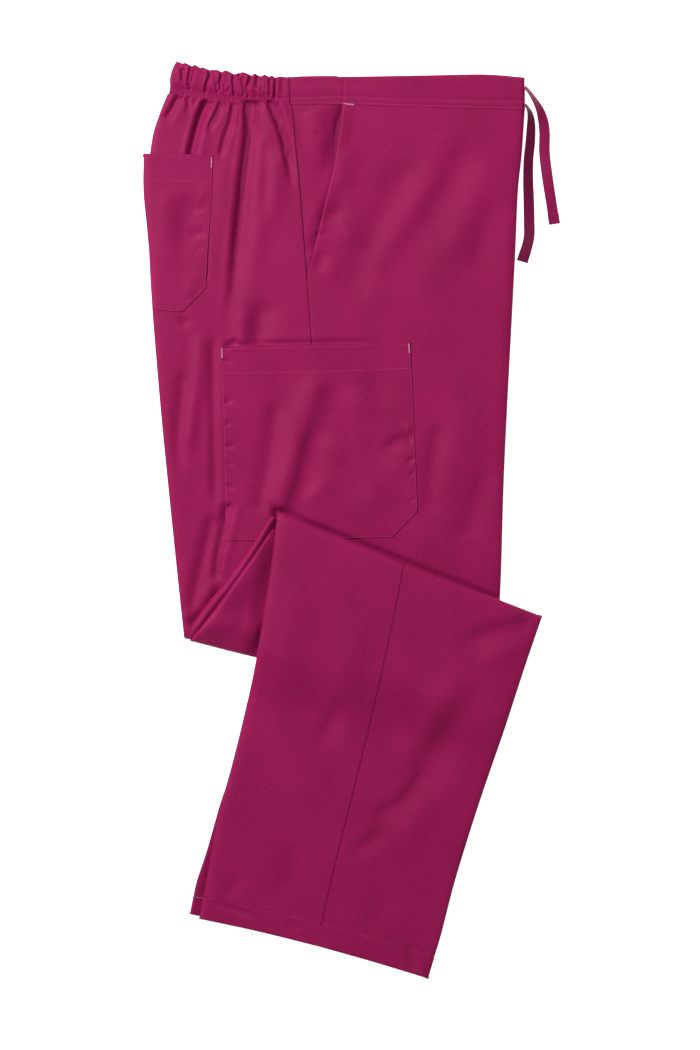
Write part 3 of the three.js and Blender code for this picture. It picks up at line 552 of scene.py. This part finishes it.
HIP_FOLDS = CREASES_FROM_ELASTIC + [
    Fold([(-73, 372), (-74, 330), (-77, 286)], 5, 6, -1.45, 16, 40),
    Fold([(-64, 360), (-64, 320), (-70, 270)], 7, 8, 1.16, 16, 40),
    Fold([(-114, 350), (-115, 310), (-117, 262)], 8, 9, 1.16, 18, 44),
    Fold([(-76, 216), (-80, 190), (-84, 166)], 10, 12, -3.19, 16, 10),
    Fold([(-96, 206), (-95, 180), (-98, 164)], 7, 8, 2.03, 14, 8),
    Fold([(-100, 175), (-114, 166)], 2.4, 2.6, -1.59, 4, 4),
    Fold([(-150.5, 197), (-155, 183)], 5, 5, -1.59, 5, 10),
    Fold([(-124.5, 180), (-124.2, 130), (-123.6, 80), (-122.6, 30), (-122.5, 10)], 4, 3.4, -1.89, 14, 24),
    Fold([(-137, 186), (-139.6, 132), (-146, 93), (-149, 60)], 6, 6.5, 1.89, 20, 24),
    Fold([(-153.4, 148), (-155, 119), (-157.6, 78), (-156, 40)], 6, 5, -1.74, 16, 30),
    Fold([(-109.4, 17), (-115.4, -14), (-120.4, -39), (-121.4, -62)], 4.2, 4.6, -3.62, 5, 12),
    Fold([(-112.4, -26), (-117.4, -58)], 3, 3, 1.01, 8, 8),
    Fold([(-123, 8), (-134, -38), (-140.4, -63), (-146, -96)], 6, 7, -2.9, 14, 16),
    Fold([(-115.4, -62), (-124.6, -79), (-141.6, -98), (-148, -104)], 5, 4, -3.77, 14, 4),
    Fold([(10, 368), (2, 338), (-4, 316)], 7, 9, 1.3, 18, 12),
    Fold([(6, 306), (-9, 296), (-20, 284)], 6, 8, -1.7, 16, 7),
    Fold([(-12, 276), (-27, 276)], 3, 3, -1.16, 6, 4),
    Fold([(-18, 262), (-26, 236)], 5, 7, -1.59, 8, 10),
    Fold([(24, 330), (16, 310)], 12, 14, -1.74, 18, 18),
    Fold([(14, 284), (4, 262)], 9, 12, 1.3, 14, 16),
    Fold([(70, 355), (42, 300), (20, 250), (6, 205)], 15, 16, -1.89, 30, 30),
    Fold([(101, 352), (72, 300), (44, 250), (28, 205)], 13, 13, 1.1, 30, 30),
    Fold([(130, 372), (104, 330), (78, 288), (50, 248), (34, 212)], 11, 17, -1.9, 30, 34),
    Fold([(146, 352), (122, 300), (97, 244)], 12, 14, 0.8, 30, 30),
    Fold([(150, 318), (136, 268), (118, 226)], 10, 14, -1.3, 26, 30),
    Fold([(-12, 150), (-24, 130), (-33, 106), (-40, 84), (-48, 51), (-56, 18), (-62, 2)],
         15, 10, 3.3, 30, 16),
    Fold([(-20, 104), (-30, 78), (-37, 52), (-43, 32), (-52, 10), (-60, 0)], 7, 13, -2.2, 44, 12),
    Fold([(-62, 122), (-66, 90), (-70, 57), (-76.5, 24), (-79, 3)], 8, 9, -2.3, 22, 14),
    Fold([(-2, 130), (14, 114), (36, 94)], 11, 13, 1.4, 28, 28),
    Fold([(18, 148), (34, 126), (50, 104)], 10, 11, -1.7, 25, 25),
    Fold([(-26, 84), (-9, 68), (8, 52)], 9, 10, 1.7, 22, 22),
    Fold([(-10, 42), (-26, 26), (-44, 8)], 6, 8, 1.1, 20, 20),
    Fold([(12, 84), (32, 66), (58, 52)], 10, 11, -1.7, 26, 26),
    Fold([(48, 44), (28, 20), (8, -4)], 12, 13, 1.1, 30, 30),
    Fold([(-118, 168.4), (-60, 170), (-10, 171), (50, 172)], 2, 2.8, -1.7, 16, 60),
    Fold([(130, 120), (112, 60), (104, 10)], 18, 20, 1.3, 30, 30),
    Fold([(140, 60), (128, 10), (118, -20)], 9, 11, -1.45, 24, 10),
    Fold([(96, 100), (86, 40), (84, 0)], 7, 9, -1.59, 22, 18),
]
FACING_FOLDS = [
    Fold([(-31, 398), (-20, 366), (-24, 336)], 9, 8, 1, 8, 28),
    Fold([(3.5, 412), (1.5, 388), (-4, 362), (-12, 322)], 12, 8, -4.25, 30, 40),
    Fold([(0.5, 404), (-1.5, 386), (-5, 362)], 3.6, 4, -2, 20, 16),
    Fold([(-23, 380), (-22, 366)], 5, 6, -0.88, 8, 8),
    Fold([(-13, 318), (-22, 280), (-28, 256)], 5, 4, -1.5, 20, 12),
]
UNDER_POCKET = 1.7
UNDER_KNEE = 2.5
LOWEST_PANEL = 0.9


def undulation(x, y):
    """The slight waviness of cloth laid on cloth"""
    slow = np.sin(x * 0.031 + y * 0.012 + 0.6) + np.sin(y * 0.026 - x * 0.017 + 2.1)
    return 0.16 * slow + 0.07 * np.sin(x * 0.083 + np.sin(y * 0.043) * 1.4) * np.sin(y * 0.071 + 0.9)


def fold_under_leg(x, y):
    """Distance above the lower leg's top fold, less than nought where the leg hides the thigh"""
    return y - 8 + 0.396 * (x + 62)


def hip_height(x, y):
    """The outer face of hips and thigh, sunk under the band and pressed down along the leg's top fold"""
    level = PANEL_TOP - (PANEL_TOP - PANEL_UNDER_BAND) * ease(-1.5, 2, y - line_y(LOWER_ROW, x))
    over_fold = fold_under_leg(x, y)
    right_of_corner = ease(-72, -60, x)
    shown = 1 - ease(4, -14, over_fold) * right_of_corner
    folds = folds_at(HIP_FOLDS, x, y) + undulation(x, y)
    freed = ease(3, -2.4, y - line_y(LOWER_ROW, x))
    pressed = (5.4 * np.exp(-(((over_fold + 2.4) / 4.7) ** 2)) * (1 - 0.3 * ease(20, 120, x))
               + 2 * ease(34, 0, over_fold)) * right_of_corner
    return np.maximum(level + folds * shown * freed - 0.6 * (1 - shown) - pressed, 1)


def panel_height(x, y):
    """The panels' own height, sunk beneath the patch pockets and the knee's folds"""
    seat = ease(-127, -133, x) * ease(204, 214, y) * ease(350, 340, y)
    seat *= ease(2, 10, 0.72 * (y - 224.5) - 0.69 * (x + 131.6))
    cargo = ease(-114, -107, x) * ease(70, 63, x) * ease(-18, -10, y) * ease(164, 156, y)
    cargo *= ease(2, 10, 0.73 * (y - 4.7) - 0.685 * (x - 73.1))
    knee = ease(2, 10, ((x + 68) * 114.7 - (y - 3.5) * 83.5) / 141.9)
    knee *= ease(6, -6, y)
    knee *= ease(-50, -62, x)
    return np.maximum(hip_height(x, y) - UNDER_POCKET * (seat + cargo) - UNDER_KNEE * knee, LOWEST_PANEL)


def slash_x(y):
    x, level = np.transpose(SLASH[::-1])
    return np.interp(y, level, x)


def facing_height(x, y):
    tucked = ease(-4, 5, x - slash_x(y))
    return hip_height(x, y) + folds_at(FACING_FOLDS, x, y) * ease(405, 396, y) - 0.2 - 1.1 * tucked


def front_height(x, y):
    beside = ease(16, 0, x - slash_x(y)) * ease(222, 262, y)
    gape = ease(250, 350, y) * ease(410, 380, y)
    return panel_height(x, y) + beside * (0.6 + 1.1 * gape)


thigh_back = cloth(
    "thigh_back_panel",
    [run([(-169, 412), (-49.9, 406.5)]), run([(x - 0.05, y) for x, y in SIDE_SEAM]),
     run([(-153, -114.4), (-4.7, -150.5)]), run(SEAT_EDGE)],
    [UNDER, SEAM, Edge(7, 3, 3), FOLDED], panel_height, poplin, grain=-3)
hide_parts("thigh_back")
thigh_front = cloth(
    "thigh_front_panel",
    [run([(1.5, 407), (177.5, 404)]), run(FRONT_FOLD), run([(-4.3, -150.5), (147.5, -191.5)]),
     run([*SLASH, (-32, 208), *SIDE_SEAM[6:]])],
    [UNDER, FOLDED, Edge(7, 3, 3), Edge(1.3, 0.6, 1.6)], front_height, poplin, grain=2)
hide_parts("thigh_front")
facing = cloth(
    "hand_pocket_facing",
    [run([(-49.3, 406.5), (13, 406)]),
     run([(13, 406), (11, 382), (3, 342), (-7, 302), (-18, 256), (-25.5, 236), (-27, 229)]),
     run([(-33.4, 229), (-27, 229)]),
     run([(-49.3, 406.5), (-46.3, 385), (-44.3, 360), (-40.8, 325), (-36.3, 268), (-34.2, 240),
          (-33.4, 229)])],
    [UNDER, UNDER, UNDER, SEAM], facing_height, poplin, grain=-14)
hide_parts("side_pocket_facing")
slash_rows = stitches(
    "hand_pocket_stitches", [[(x + 1.5, y) for x, y in SLASH[1:-1]]], front_height, width=0.34)

# The layers that the folds hide, as one closed rounded body with the lips of its lower folds. A lip is
# how far in its line lies from the side, and its share of the body's height.
# The hidden layers' poplin is painted darker than the outer poplin, as painted shade between the folded
# layers.
hidden_poplin_painted_shade = woven("hidden_poplin_painted_shade", (0.20, 0.0068, 0.055), (0.29, 0.0105, 0.082))
HIP_LIPS = [(11, 1), (7.5, 0.8), (5, 0.54), (3.4, 0.44), (1.8, 0.34), (1.3, 0.18), (2.2, 0.04), (5, 0)]
LEG_LIPS = [(11, 1), (7.5, 0.88), (5, 0.74), (3, 0.66), (2.2, 0.58), (3.8, 0.5), (2.4, 0.42), (2, 0.33),
            (3.6, 0.26), (2.2, 0.17), (2, 0.07), (5, 0)]


def hips_top(x, y):
    near_slash = np.exp(-(((x - slash_x(y) + 5) / 18) ** 2)) * ease(250, 290, y)
    return np.maximum(panel_height(x, y) - 2 - 2.6 * near_slash, 0.25)


def layers(name, left, right, height, foot, lips, spacing=3.0):
    """A closed body between two side lines, from foot up to height, with lips at each side"""
    side = through(lips, np.linspace(0, 1, 4 * len(lips)))
    middle = np.linspace(0, 1, 36)[1:-1]
    level = np.concatenate([side[::-1, 1], middle * 0 + 1, side[:, 1], middle * 0])
    inset = np.concatenate([side[::-1, 0], middle * 0 + lips[0][0], side[:, 0], middle * 0 + lips[-1][0]])
    share = np.concatenate([side[:, 0] * 0, middle, side[:, 0] * 0 + 1, middle[::-1]])
    around = np.arange(len(level) + 1)

    def place(c, r):
        k = c.astype(int) % len(level)
        a, b = left.at(r), right.at(r)
        way = (b - a) / np.linalg.norm(b - a, axis=1)[:, None]
        a, b = a + way * inset[k][:, None], b - way * inset[k][:, None]
        x, y = (a + (b - a) * share[k][:, None]).T
        near_end = np.minimum(r, 1 - r) * left.length
        closing = np.sqrt(1 - (1 - np.clip(near_end / 5, 0.02, 1)) ** 2)
        low, high = foot(x, y), height(x, y)
        middle_height = low + 0.3 * (high - low)
        z = low + level[k] * (high - low)
        return x, y, middle_height + (z - middle_height) * closing

    rows = np.linspace(0, 1, round(left.length / spacing))
    piece = bent_grid(name, around, rows, place, hidden_poplin_painted_shade, closed=True)
    return piece


hips_under = layers(
    "hips_hidden_layers",
    run([(x, y - 3) for x, y in SEAT_EDGE[:-1]] + [(-153.2, -108)]),
    run([(x, y - 3) for x, y in FRONT_FOLD[:-1]] + [(147.8, -186)]),
    hips_top, lambda x, y: np.full(len(x), 0.1), HIP_LIPS)
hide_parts("hips_under")

# Patch pockets
# A seat pocket that reaches round the seat fold, and a large cargo pocket over the side seam. Each is
# one poplin patch with a turned hem at its mouth, topstitched down its sides and tacked at its corners.
SEAT_POCKET_HEM = [(-192.6, 329.6), (-156, 328), (-125.4, 325.8)]
SEAT_POCKET_SIDE = [(-125.4, 326.7), (-126.4, 306), (-129, 269), (-131.4, 224)]
SEAT_POCKET_FOOT = [(-182, 202.8), (-154.2, 200.5), (-131.4, 224)]
SEAT_POCKET_FOLDS = [
    Fold([(-148, 297), (-131, 303)], 3.4, 5, -0.9, 10, 3),
    Fold([(-150, 274), (-131, 278.5)], 3.4, 5, -1, 10, 3),
    Fold([(-146, 260), (-133, 262)], 2.6, 4, -0.6, 8, 3),
    Fold([(-150, 318), (-151, 286), (-153, 250)], 11, 14, -1.54, 16, 24),
    Fold([(-170, 322), (-170, 280), (-168, 236)], 9, 12, 0.98, 16, 20),
    Fold([(-141, 240), (-150, 214)], 6, 6, 0.56, 8, 8),
    Fold([(-133, 322), (-140, 290)], 4, 4, 0.56, 6, 10),
]
CARGO_HEM = [(-116.3, 141), (-24, 142.4), (67.6, 146.2)]
CARGO_SIDE = [(67.6, 147), (70, 89.5), (71.7, 50), (73.5, 8.3)]
CARGO_LEFT = [(-116.3, 141.8), (-114.5, 89.5), (-113.3, 30), (-112.5, -21)]
CARGO_FOOT = [(-112.5, -21), (48.5, -17.5), (73.5, 8.3)]
CARGO_FOLDS = [
    Fold([(71, 78), (58, 78), (48, 73), (38, 64)], 4.5, 8, -1.5, 5, 16),
    Fold([(70, 89), (56, 89)], 5, 4, 0.8, 3, 10),
    Fold([(71, 60), (61, 56)], 1.8, 3, -1.3, 2, 6),
    Fold([(71, 46), (63, 43)], 1.5, 2.6, -1.1, 2, 5),
    Fold([(72, 20), (63, 17)], 1.5, 2.6, -1, 2, 6),
    Fold([(-117, 154), (-105, 151)], 1.8, 2.6, -1.1, 2, 7),
    Fold([(-116, 113), (-103, 115)], 2.2, 3.6, -1.7, 2, 8),
    Fold([(-115, 92), (-104, 93)], 1.8, 3, -1.3, 2, 7),
    Fold([(-115, 71), (-102, 69)], 1.8, 3, -1.4, 2, 8),
    Fold([(-114, 54), (-104, 52)], 1.5, 2.8, -1.2, 2, 7),
    Fold([(-114, 33), (-102, 29)], 1.8, 3, -1.6, 2, 8),
    Fold([(-114, 13), (-106, 11)], 1.5, 2.6, -1, 2, 6),
]
POCKET_EDGE = Edge(1.1, 0.5, 0.8)
POCKET_MOUTH = Edge(1.6, 0.8, 3)
SEAT_WRAP = Edge(8, 2.6, 4)
HEM_CLOTH = 0.9
HEM_RISE = 0.04
POCKET_STITCH = 0.46


def seat_pocket_height(x, y):
    sewn = 0.15 * np.exp(-(((x - line_y([(202, -131.5), (352, -124.8)], y) + 1.2) / 1) ** 2))
    mouth = 0.6 * ease(338, 353, y) * ease(-122, -150, x)
    return 6.9 + undulation(x, y) + folds_at(SEAT_POCKET_FOLDS, x, y) + mouth - sewn


def seat_hem_height(x, y):
    return seat_pocket_height(x, y) + HEM_RISE


def cargo_height(x, y):
    gape = 1.9 * ease(120, 168, y) * np.exp(-(((x + 42) / 52) ** 2))
    left = np.interp(y, [-21, 166], [-112.5, -117])
    right = np.interp(y, [8, 171], [73.5, 66.3])
    free = 0.35 + 0.65 * ease(0, 5, np.minimum(x - left, right - x))
    return hip_height(x, y) + 0.8 + folds_at(CARGO_FOLDS, x, y) * free + gape


def cargo_hem_height(x, y):
    return cargo_height(x, y) + HEM_RISE


seat_pocket = cloth(
    "seat_pocket",
    [run([(-192.6, 329.55), (-156, 327.95), (-125.4, 325.75)]), run(SEAT_POCKET_SIDE),
     run(SEAT_POCKET_FOOT, False),
     run([(-192.6, 330.4), (-192, 312.5), (-189.5, 287.5), (-185.5, 244.5), (-182, 202.8)])],
    [UNDER, POCKET_EDGE, POCKET_EDGE, SEAT_WRAP], seat_pocket_height, poplin, spacing=1.6)
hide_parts("back_pocket")
seat_hem = cloth(
    "seat_pocket_hem",
    [run([(-192, 354), (-151.5, 353.6), (-124.6, 351.4)]), run([(-124.6, 351.4), (-125.4, 325.9)]),
     run(SEAT_POCKET_HEM), run([(-192, 354), (-192.6, 329.6)])],
    [POCKET_MOUTH, POCKET_EDGE, UNDER, SEAT_WRAP], seat_hem_height, poplin, spacing=1.4, thick=HEM_CLOTH)
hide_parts("back_pocket_hem")
cargo_pocket = cloth(
    "cargo_pocket_patch",
    [run([(-116.3, 140.95), (-24, 142.35), (67.6, 146.15)]), run(CARGO_SIDE), run(CARGO_FOOT, False),
     run(CARGO_LEFT)],
    [UNDER, POCKET_EDGE, POCKET_EDGE, POCKET_EDGE], cargo_height, poplin, spacing=1.6)
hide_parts("cargo_pocket")
cargo_hem = cloth(
    "cargo_pocket_mouth",
    [run([(-117, 166.5), (-31.5, 168.7), (66.3, 171)]), run([(66.3, 171), (67.6, 146.2)]), run(CARGO_HEM),
     run([(-117, 166.5), (-116.3, 141)])],
    [POCKET_MOUTH, POCKET_EDGE, UNDER, POCKET_EDGE], cargo_hem_height, poplin, spacing=1.4, thick=HEM_CLOTH)
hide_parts("cargo_pocket_hem")
seat_rows = stitches(
    "seat_pocket_stitches",
    [[(-189, 329.2), (-156, 327.6), (-126.6, 326)],
     [(-126, 340), (-127.3, 306), (-129.9, 269), (-132.3, 225)],
     [(-132.6, 223.6), (-154, 202.2)], [(-155.5, 201.6), (-179, 203.4)]],
    seat_hem_height, POCKET_STITCH)
seat_tack = bar_tacks("seat_pocket_bar_tack", [[(-125.9, 350.4), (-126.2, 340.4)]], seat_hem_height)
cargo_rows = stitches(
    "cargo_pocket_stitches",
    [[(-115.4, 141.2), (-24, 142.6), (66.6, 146.3)],
     [(-116, 157), (-114, 100), (-113, 60), (-112.2, 20), (-111.5, -18)],
     [(65.6, 161), (66.8, 146), (69.1, 89.5), (70.8, 50), (72.4, 9.6)], [(72.2, 8.2), (48.6, -16.2)],
     [(47.4, -16.7), (-30, -18.2), (-110.6, -20)]],
    cargo_hem_height, POCKET_STITCH)
cargo_tacks = bar_tacks(
    "cargo_pocket_bar_tacks", [[(-116.4, 166), (-116, 156.2)], [(64.7, 170), (65.4, 161.2)]],
    cargo_hem_height)

# Middle run of the Z
# Below the knee both legs fold up and back over the thigh. Two of their back creases show as steps to
# the left of the lower leg, and the cloth wraps down round the fold at the foot of the thigh.
KNEE_FOOT = Edge(13, 4.3, 4)
KNEE_SIDE = Edge(4, 2.6, 2.5)
KNEE_LOWER_FOLDS = [
    Fold([(-65, 4), (-83.5, -26), (-106.4, -60), (-127.6, -86), (-146, -111)], 3.4, 4.4, 3.6, 2, 10),
]
KNEE_UPPER_FOLDS = [
    Fold([(-146, -99), (-118, -102), (-97, -107), (-76, -112)], 13, 12, 3.6, 30, 10),
    Fold([(-152, -118), (-110, -129), (-68, -139)], 8, 15, -3, 30, 4),
    Fold([(-65, -10), (-79.6, -32), (-96.6, -56), (-120.6, -90), (-141, -116)], 3.2, 13, 3.4, 8, 14),
    Fold([(-98, -88), (-112, -108)], 6, 7, 1, 10, 10),
]


def resting(y):
    return 6.2 + 1.3 * ease(-90, -46, y)


def falling_to_leg(x, y):
    """How the cloth sinks under the lower leg's side"""
    return ease(16, -2, np.interp(y, [-141, -91.5, -42, 8], [-84, -75.5, -68, -62]) - x)


def knee_lower_height(x, y):
    return resting(y) + 1.1 + folds_at(KNEE_LOWER_FOLDS, x, y) - 2.4 * falling_to_leg(x, y)


def knee_upper_height(x, y):
    return resting(y) + 4 + folds_at(KNEE_UPPER_FOLDS, x, y) - 4.4 * falling_to_leg(x, y)


knee_lower = cloth(
    "knee_fold_lower_run",
    [run([(-68, 3.5), (-52, -6)]), run([(-52, -6), (-58, -50), (-62, -84), (-66, -112), (-70, -134)]),
     run([(-152.4, -115), (-110, -125.5), (-70, -136)]),
     run([(-68, 3.5), (-87.5, -25.5), (-112, -59.5), (-133, -84.5), (-152.4, -115)])],
    [UNDER, UNDER, KNEE_FOOT, KNEE_SIDE], knee_lower_height, poplin, spacing=1.8, grain=32)
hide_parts("knee_fold_lower")
knee_upper = cloth(
    "knee_fold_upper_run",
    [run([(-67.4, -9), (-52, -20)]), run([(-52, -20), (-57, -54), (-61, -84), (-66, -110), (-70, -137)]),
     run([(-147, -117.4), (-110, -128), (-70, -138.6)]),
     run([(-67.4, -9), (-83.4, -32.5), (-100, -55), (-124.4, -88.7), (-147, -117.4)])],
    [UNDER, UNDER, KNEE_FOOT, KNEE_SIDE], knee_upper_height, poplin, spacing=1.8, grain=30)
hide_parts("knee_fold_upper")

# Lower leg
# The right leg folded down again over the knee, its back and front panels joined at the side seam,
# with a turned and stitched hem. It slopes down from the thick folds to the ground.
LEG_BACK = [(-62, 8), (-68, -42), (-75.5, -91.5), (-84, -141), (-95, -190.5), (-107, -239), (-120.5, -288.5),
            (-129.5, -338), (-134.2, -364.6)]
LEG_SEAM = [(60, -42), (51, -89), (41, -135.5), (30.5, -182), (19.5, -228.5), (8, -275), (-3.5, -320.5),
            (-14.5, -367), (-19.5, -391.2)]
LEG_FRONT = [(193.5, -93.5), (178.5, -137), (164, -181), (150, -224.5), (135, -268.5), (121, -312),
             (108, -355.5), (96.5, -400.5), (89.7, -423.2)]
LEG_FOLDS = [
    Fold([(192, -96), (165, -104), (138, -110), (106, -124)], 7, 10, -2.3, 20, 34),
    Fold([(176, -118), (150, -132), (124, -146)], 8, 10, 0.9, 24, 24),
    Fold([(140, -150), (120, -180), (101, -208), (82, -236), (68, -262)], 13, 20, -2.4, 36, 26),
    Fold([(84, -236), (70, -258), (56, -274), (40, -282), (26, -292)], 5.5, 13, -1.9, 22, 20),
    Fold([(46, -298), (28, -311), (6, -324)], 6, 8, -1.4, 20, 20),
    Fold([(124, -140), (88, -196), (48, -254)], 14, 12, 1.2, 44, 44),
    Fold([(92, -258), (68, -296), (44, -336)], 12, 13, 0.8, 34, 34),
    Fold([(6, -160), (-10, -196), (-24, -232)], 8, 11, -1.8, 32, 32),
    Fold([(26, -70), (6, -150), (-8, -210)], 15, 14, 1.1, 50, 50),
    Fold([(-40, -30), (-52, -120), (-68, -210)], 14, 15, 1.2, 60, 60),
    Fold([(-42, -300), (-50, -340), (-64, -372)], 12, 14, -1.5, 36, 26),
    Fold([(-96, -336), (-114, -372)], 7, 8, -1.1, 18, 14),
    Fold([(-128, -368), (-106, -377), (-78, -386)], 3, 4, -1.3, 14, 20),
    Fold([(-56, -388), (-38, -399)], 4, 5, -1, 9, 9),
    Fold([(46, -350), (34, -380), (26, -408)], 11, 12, -1.1, 28, 20),
    Fold([(66, -408), (66, -426), (74, -442)], 5, 7, -1.4, 14, 12),
]
LEG_TOP_FOLD = Edge(9, 4.2, 5)
LEG_SIDE = Edge(11, 3, 3.5)
LEG_TOP = 6.2
FOLD_TOP = 16
LEG_HEM = Edge(1.6, 1, 1.2)


def above_knee_fold(x, y):
    return (y + 114) * 0.9661 + (x + 153.5) * 0.2583


def leg_height(x, y):
    rise = ease(-42, 14, above_knee_fold(x, y))
    sink = 3.5 * ease(140, 194, x) * rise
    return LEG_TOP + (FOLD_TOP - LEG_TOP) * rise - sink + folds_at(LEG_FOLDS, x, y) + undulation(x, y + 300)


def leg_hem_height(x, y):
    return leg_height(x, y) + HEM_RISE


leg_back = cloth(
    "lower_leg_back_panel",
    [run([(-62, 8), (59.9, -42)]), run([(x - 0.05, y) for x, y in LEG_SEAM]),
     run([(-134.2, -364.95), (-70.8, -379.75), (-19.55, -391.55)]), run(LEG_BACK)],
    [LEG_TOP_FOLD, SEAM, UNDER, LEG_SIDE], leg_height, poplin, grain=14)
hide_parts("lower_leg_back")
leg_front = cloth(
    "lower_leg_front_panel",
    [run([(60.1, -42), (193.5, -93.5)]), run(LEG_FRONT),
     run([(-19.45, -391.55), (41.7, -409.05), (89.7, -423.55)]), run([(x + 0.05, y) for x, y in LEG_SEAM])],
    [LEG_TOP_FOLD, FOLDED, UNDER, SEAM], leg_height, poplin, grain=17)
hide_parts("lower_leg_front")
hem_back = cloth(
    "leg_hem_back",
    [run([(-134.2, -365), (-70.8, -379.8), (-19.55, -391.6)]), run([(-19.55, -391.6), (-24, -413)]),
     run([(-138, -386.5), (-82, -398.6), (-24, -413)]), run([(-134.2, -365), (-138, -386.5)])],
    [UNDER, UNDER, LEG_HEM, FOLDED], leg_hem_height, poplin, spacing=1.8, grain=14, thick=HEM_CLOTH)
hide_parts("hem_back")
hem_front = cloth(
    "leg_hem_front",
    [run([(-19.45, -391.6), (41.7, -409.1), (89.7, -423.6)]), run([(89.7, -423.6), (83.5, -444.5)]),
     run([(-23.9, -413), (32, -428.8), (83.5, -444.5)]), run([(-19.45, -391.6), (-23.9, -413)])],
    [UNDER, FOLDED, LEG_HEM, UNDER], leg_hem_height, poplin, spacing=1.8, grain=17, thick=HEM_CLOTH)
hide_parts("hem_front")
hem_rows = stitches(
    "leg_hem_stitches",
    [[(-130, -365.9), (-70.8, -379.6), (-21, -391)], [(-18, -391.9), (41.7, -408.9), (86, -422.2)]],
    leg_hem_height)


def leg_foot(x, y):
    on_thigh = ease(-2, 8, above_knee_fold(x, y)) * ease(156, 146, x)
    return 0.1 + 7.9 * on_thigh


leg_under = layers(
    "lower_leg_hidden_layers",
    run([(-60.8, -2), *LEG_BACK[1:-1], (-136.6, -382)]), run([(190, -102), *LEG_FRONT[1:-1], (85, -440)]),
    lambda x, y: leg_height(x, y) - 2, leg_foot, LEG_LIPS)
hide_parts("leg_under")

# The other leg
# Its back crease and hem lie a few millimetres further out, and show past the lower leg's left edge.
def other_leg_height(x, y):
    crease = np.interp(y, [-382.2, -364.4, -320.6, -272, -252], [-147.5, -144, -131, -117.6, -110])
    return 1.4 + 2.6 * ease(11, 1, x - crease) * ease(-250, -280, y)


under_leg = cloth(
    "other_leg_crease",
    [run([(-109, -251), (-98, -255.4)]), run([(-98, -255.4), (-112, -312), (-120, -371.4)]),
     run([(-144, -364.8), (-120, -371.4)]),
     run([(-109, -251), (-117, -272), (-131, -320.6), (-140.6, -349.7), (-144, -364.8)])],
    [UNDER, UNDER, UNDER, Edge(2, 1, 1.2)], other_leg_height, poplin, spacing=1.6, grain=16)
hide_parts("under_leg")
under_hem = cloth(
    "other_leg_hem",
    [run([(-144.1, -364.9), (-120, -371.5)]), run([(-120, -371.5), (-123, -388.6)]),
     run([(-147.5, -382.2), (-123, -388.6)]), run([(-144.1, -364.9), (-147.5, -382.2)])],
    [UNDER, UNDER, LEG_HEM, Edge(2, 1, 1.2)], lambda x, y: other_leg_height(x, y) + HEM_RISE, poplin,
    spacing=1.6, grain=16)
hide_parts("under_hem")

# Floor and light
# A plain pale floor, a soft white surround, and one large soft lamp from the upper left.
floor_paint = bpy.data.materials.new("floor_paint")
floor_paint.use_nodes = True
paint = floor_paint.node_tree.nodes["Principled BSDF"]
paint.inputs["Base Color"].default_value = (0.9, 0.9, 0.9, 1)
paint.inputs["Roughness"].default_value = 0.9
paint.inputs["Emission Color"].default_value = (1, 1, 1, 1)
paint.inputs["Emission Strength"].default_value = 1
bpy.ops.mesh.primitive_plane_add(size=8, location=(0, 0, -0.0005))
floor = bpy.context.object
floor.name = "floor"
floor.data.materials.append(floor_paint)

lamp_data = bpy.data.lights.new("key", "AREA")
lamp_data.shape = "DISK"
lamp_data.size = 1.1
lamp_data.energy = 86
lamp = bpy.data.objects.new("key", lamp_data)
lamp.location = (-1.52, 1.37, 2.05)
lamp.rotation_euler = (-Vector(lamp.location)).to_track_quat("-Z", "Y").to_euler()
bpy.context.collection.objects.link(lamp)

world = bpy.data.worlds.new("studio")
world.use_nodes = True
world.node_tree.nodes["Background"].inputs["Color"].default_value = (1, 1, 1, 1)
world.node_tree.nodes["Background"].inputs["Strength"].default_value = 0.3
bpy.context.scene.world = world
bpy.context.scene.view_settings.view_transform = "Standard"
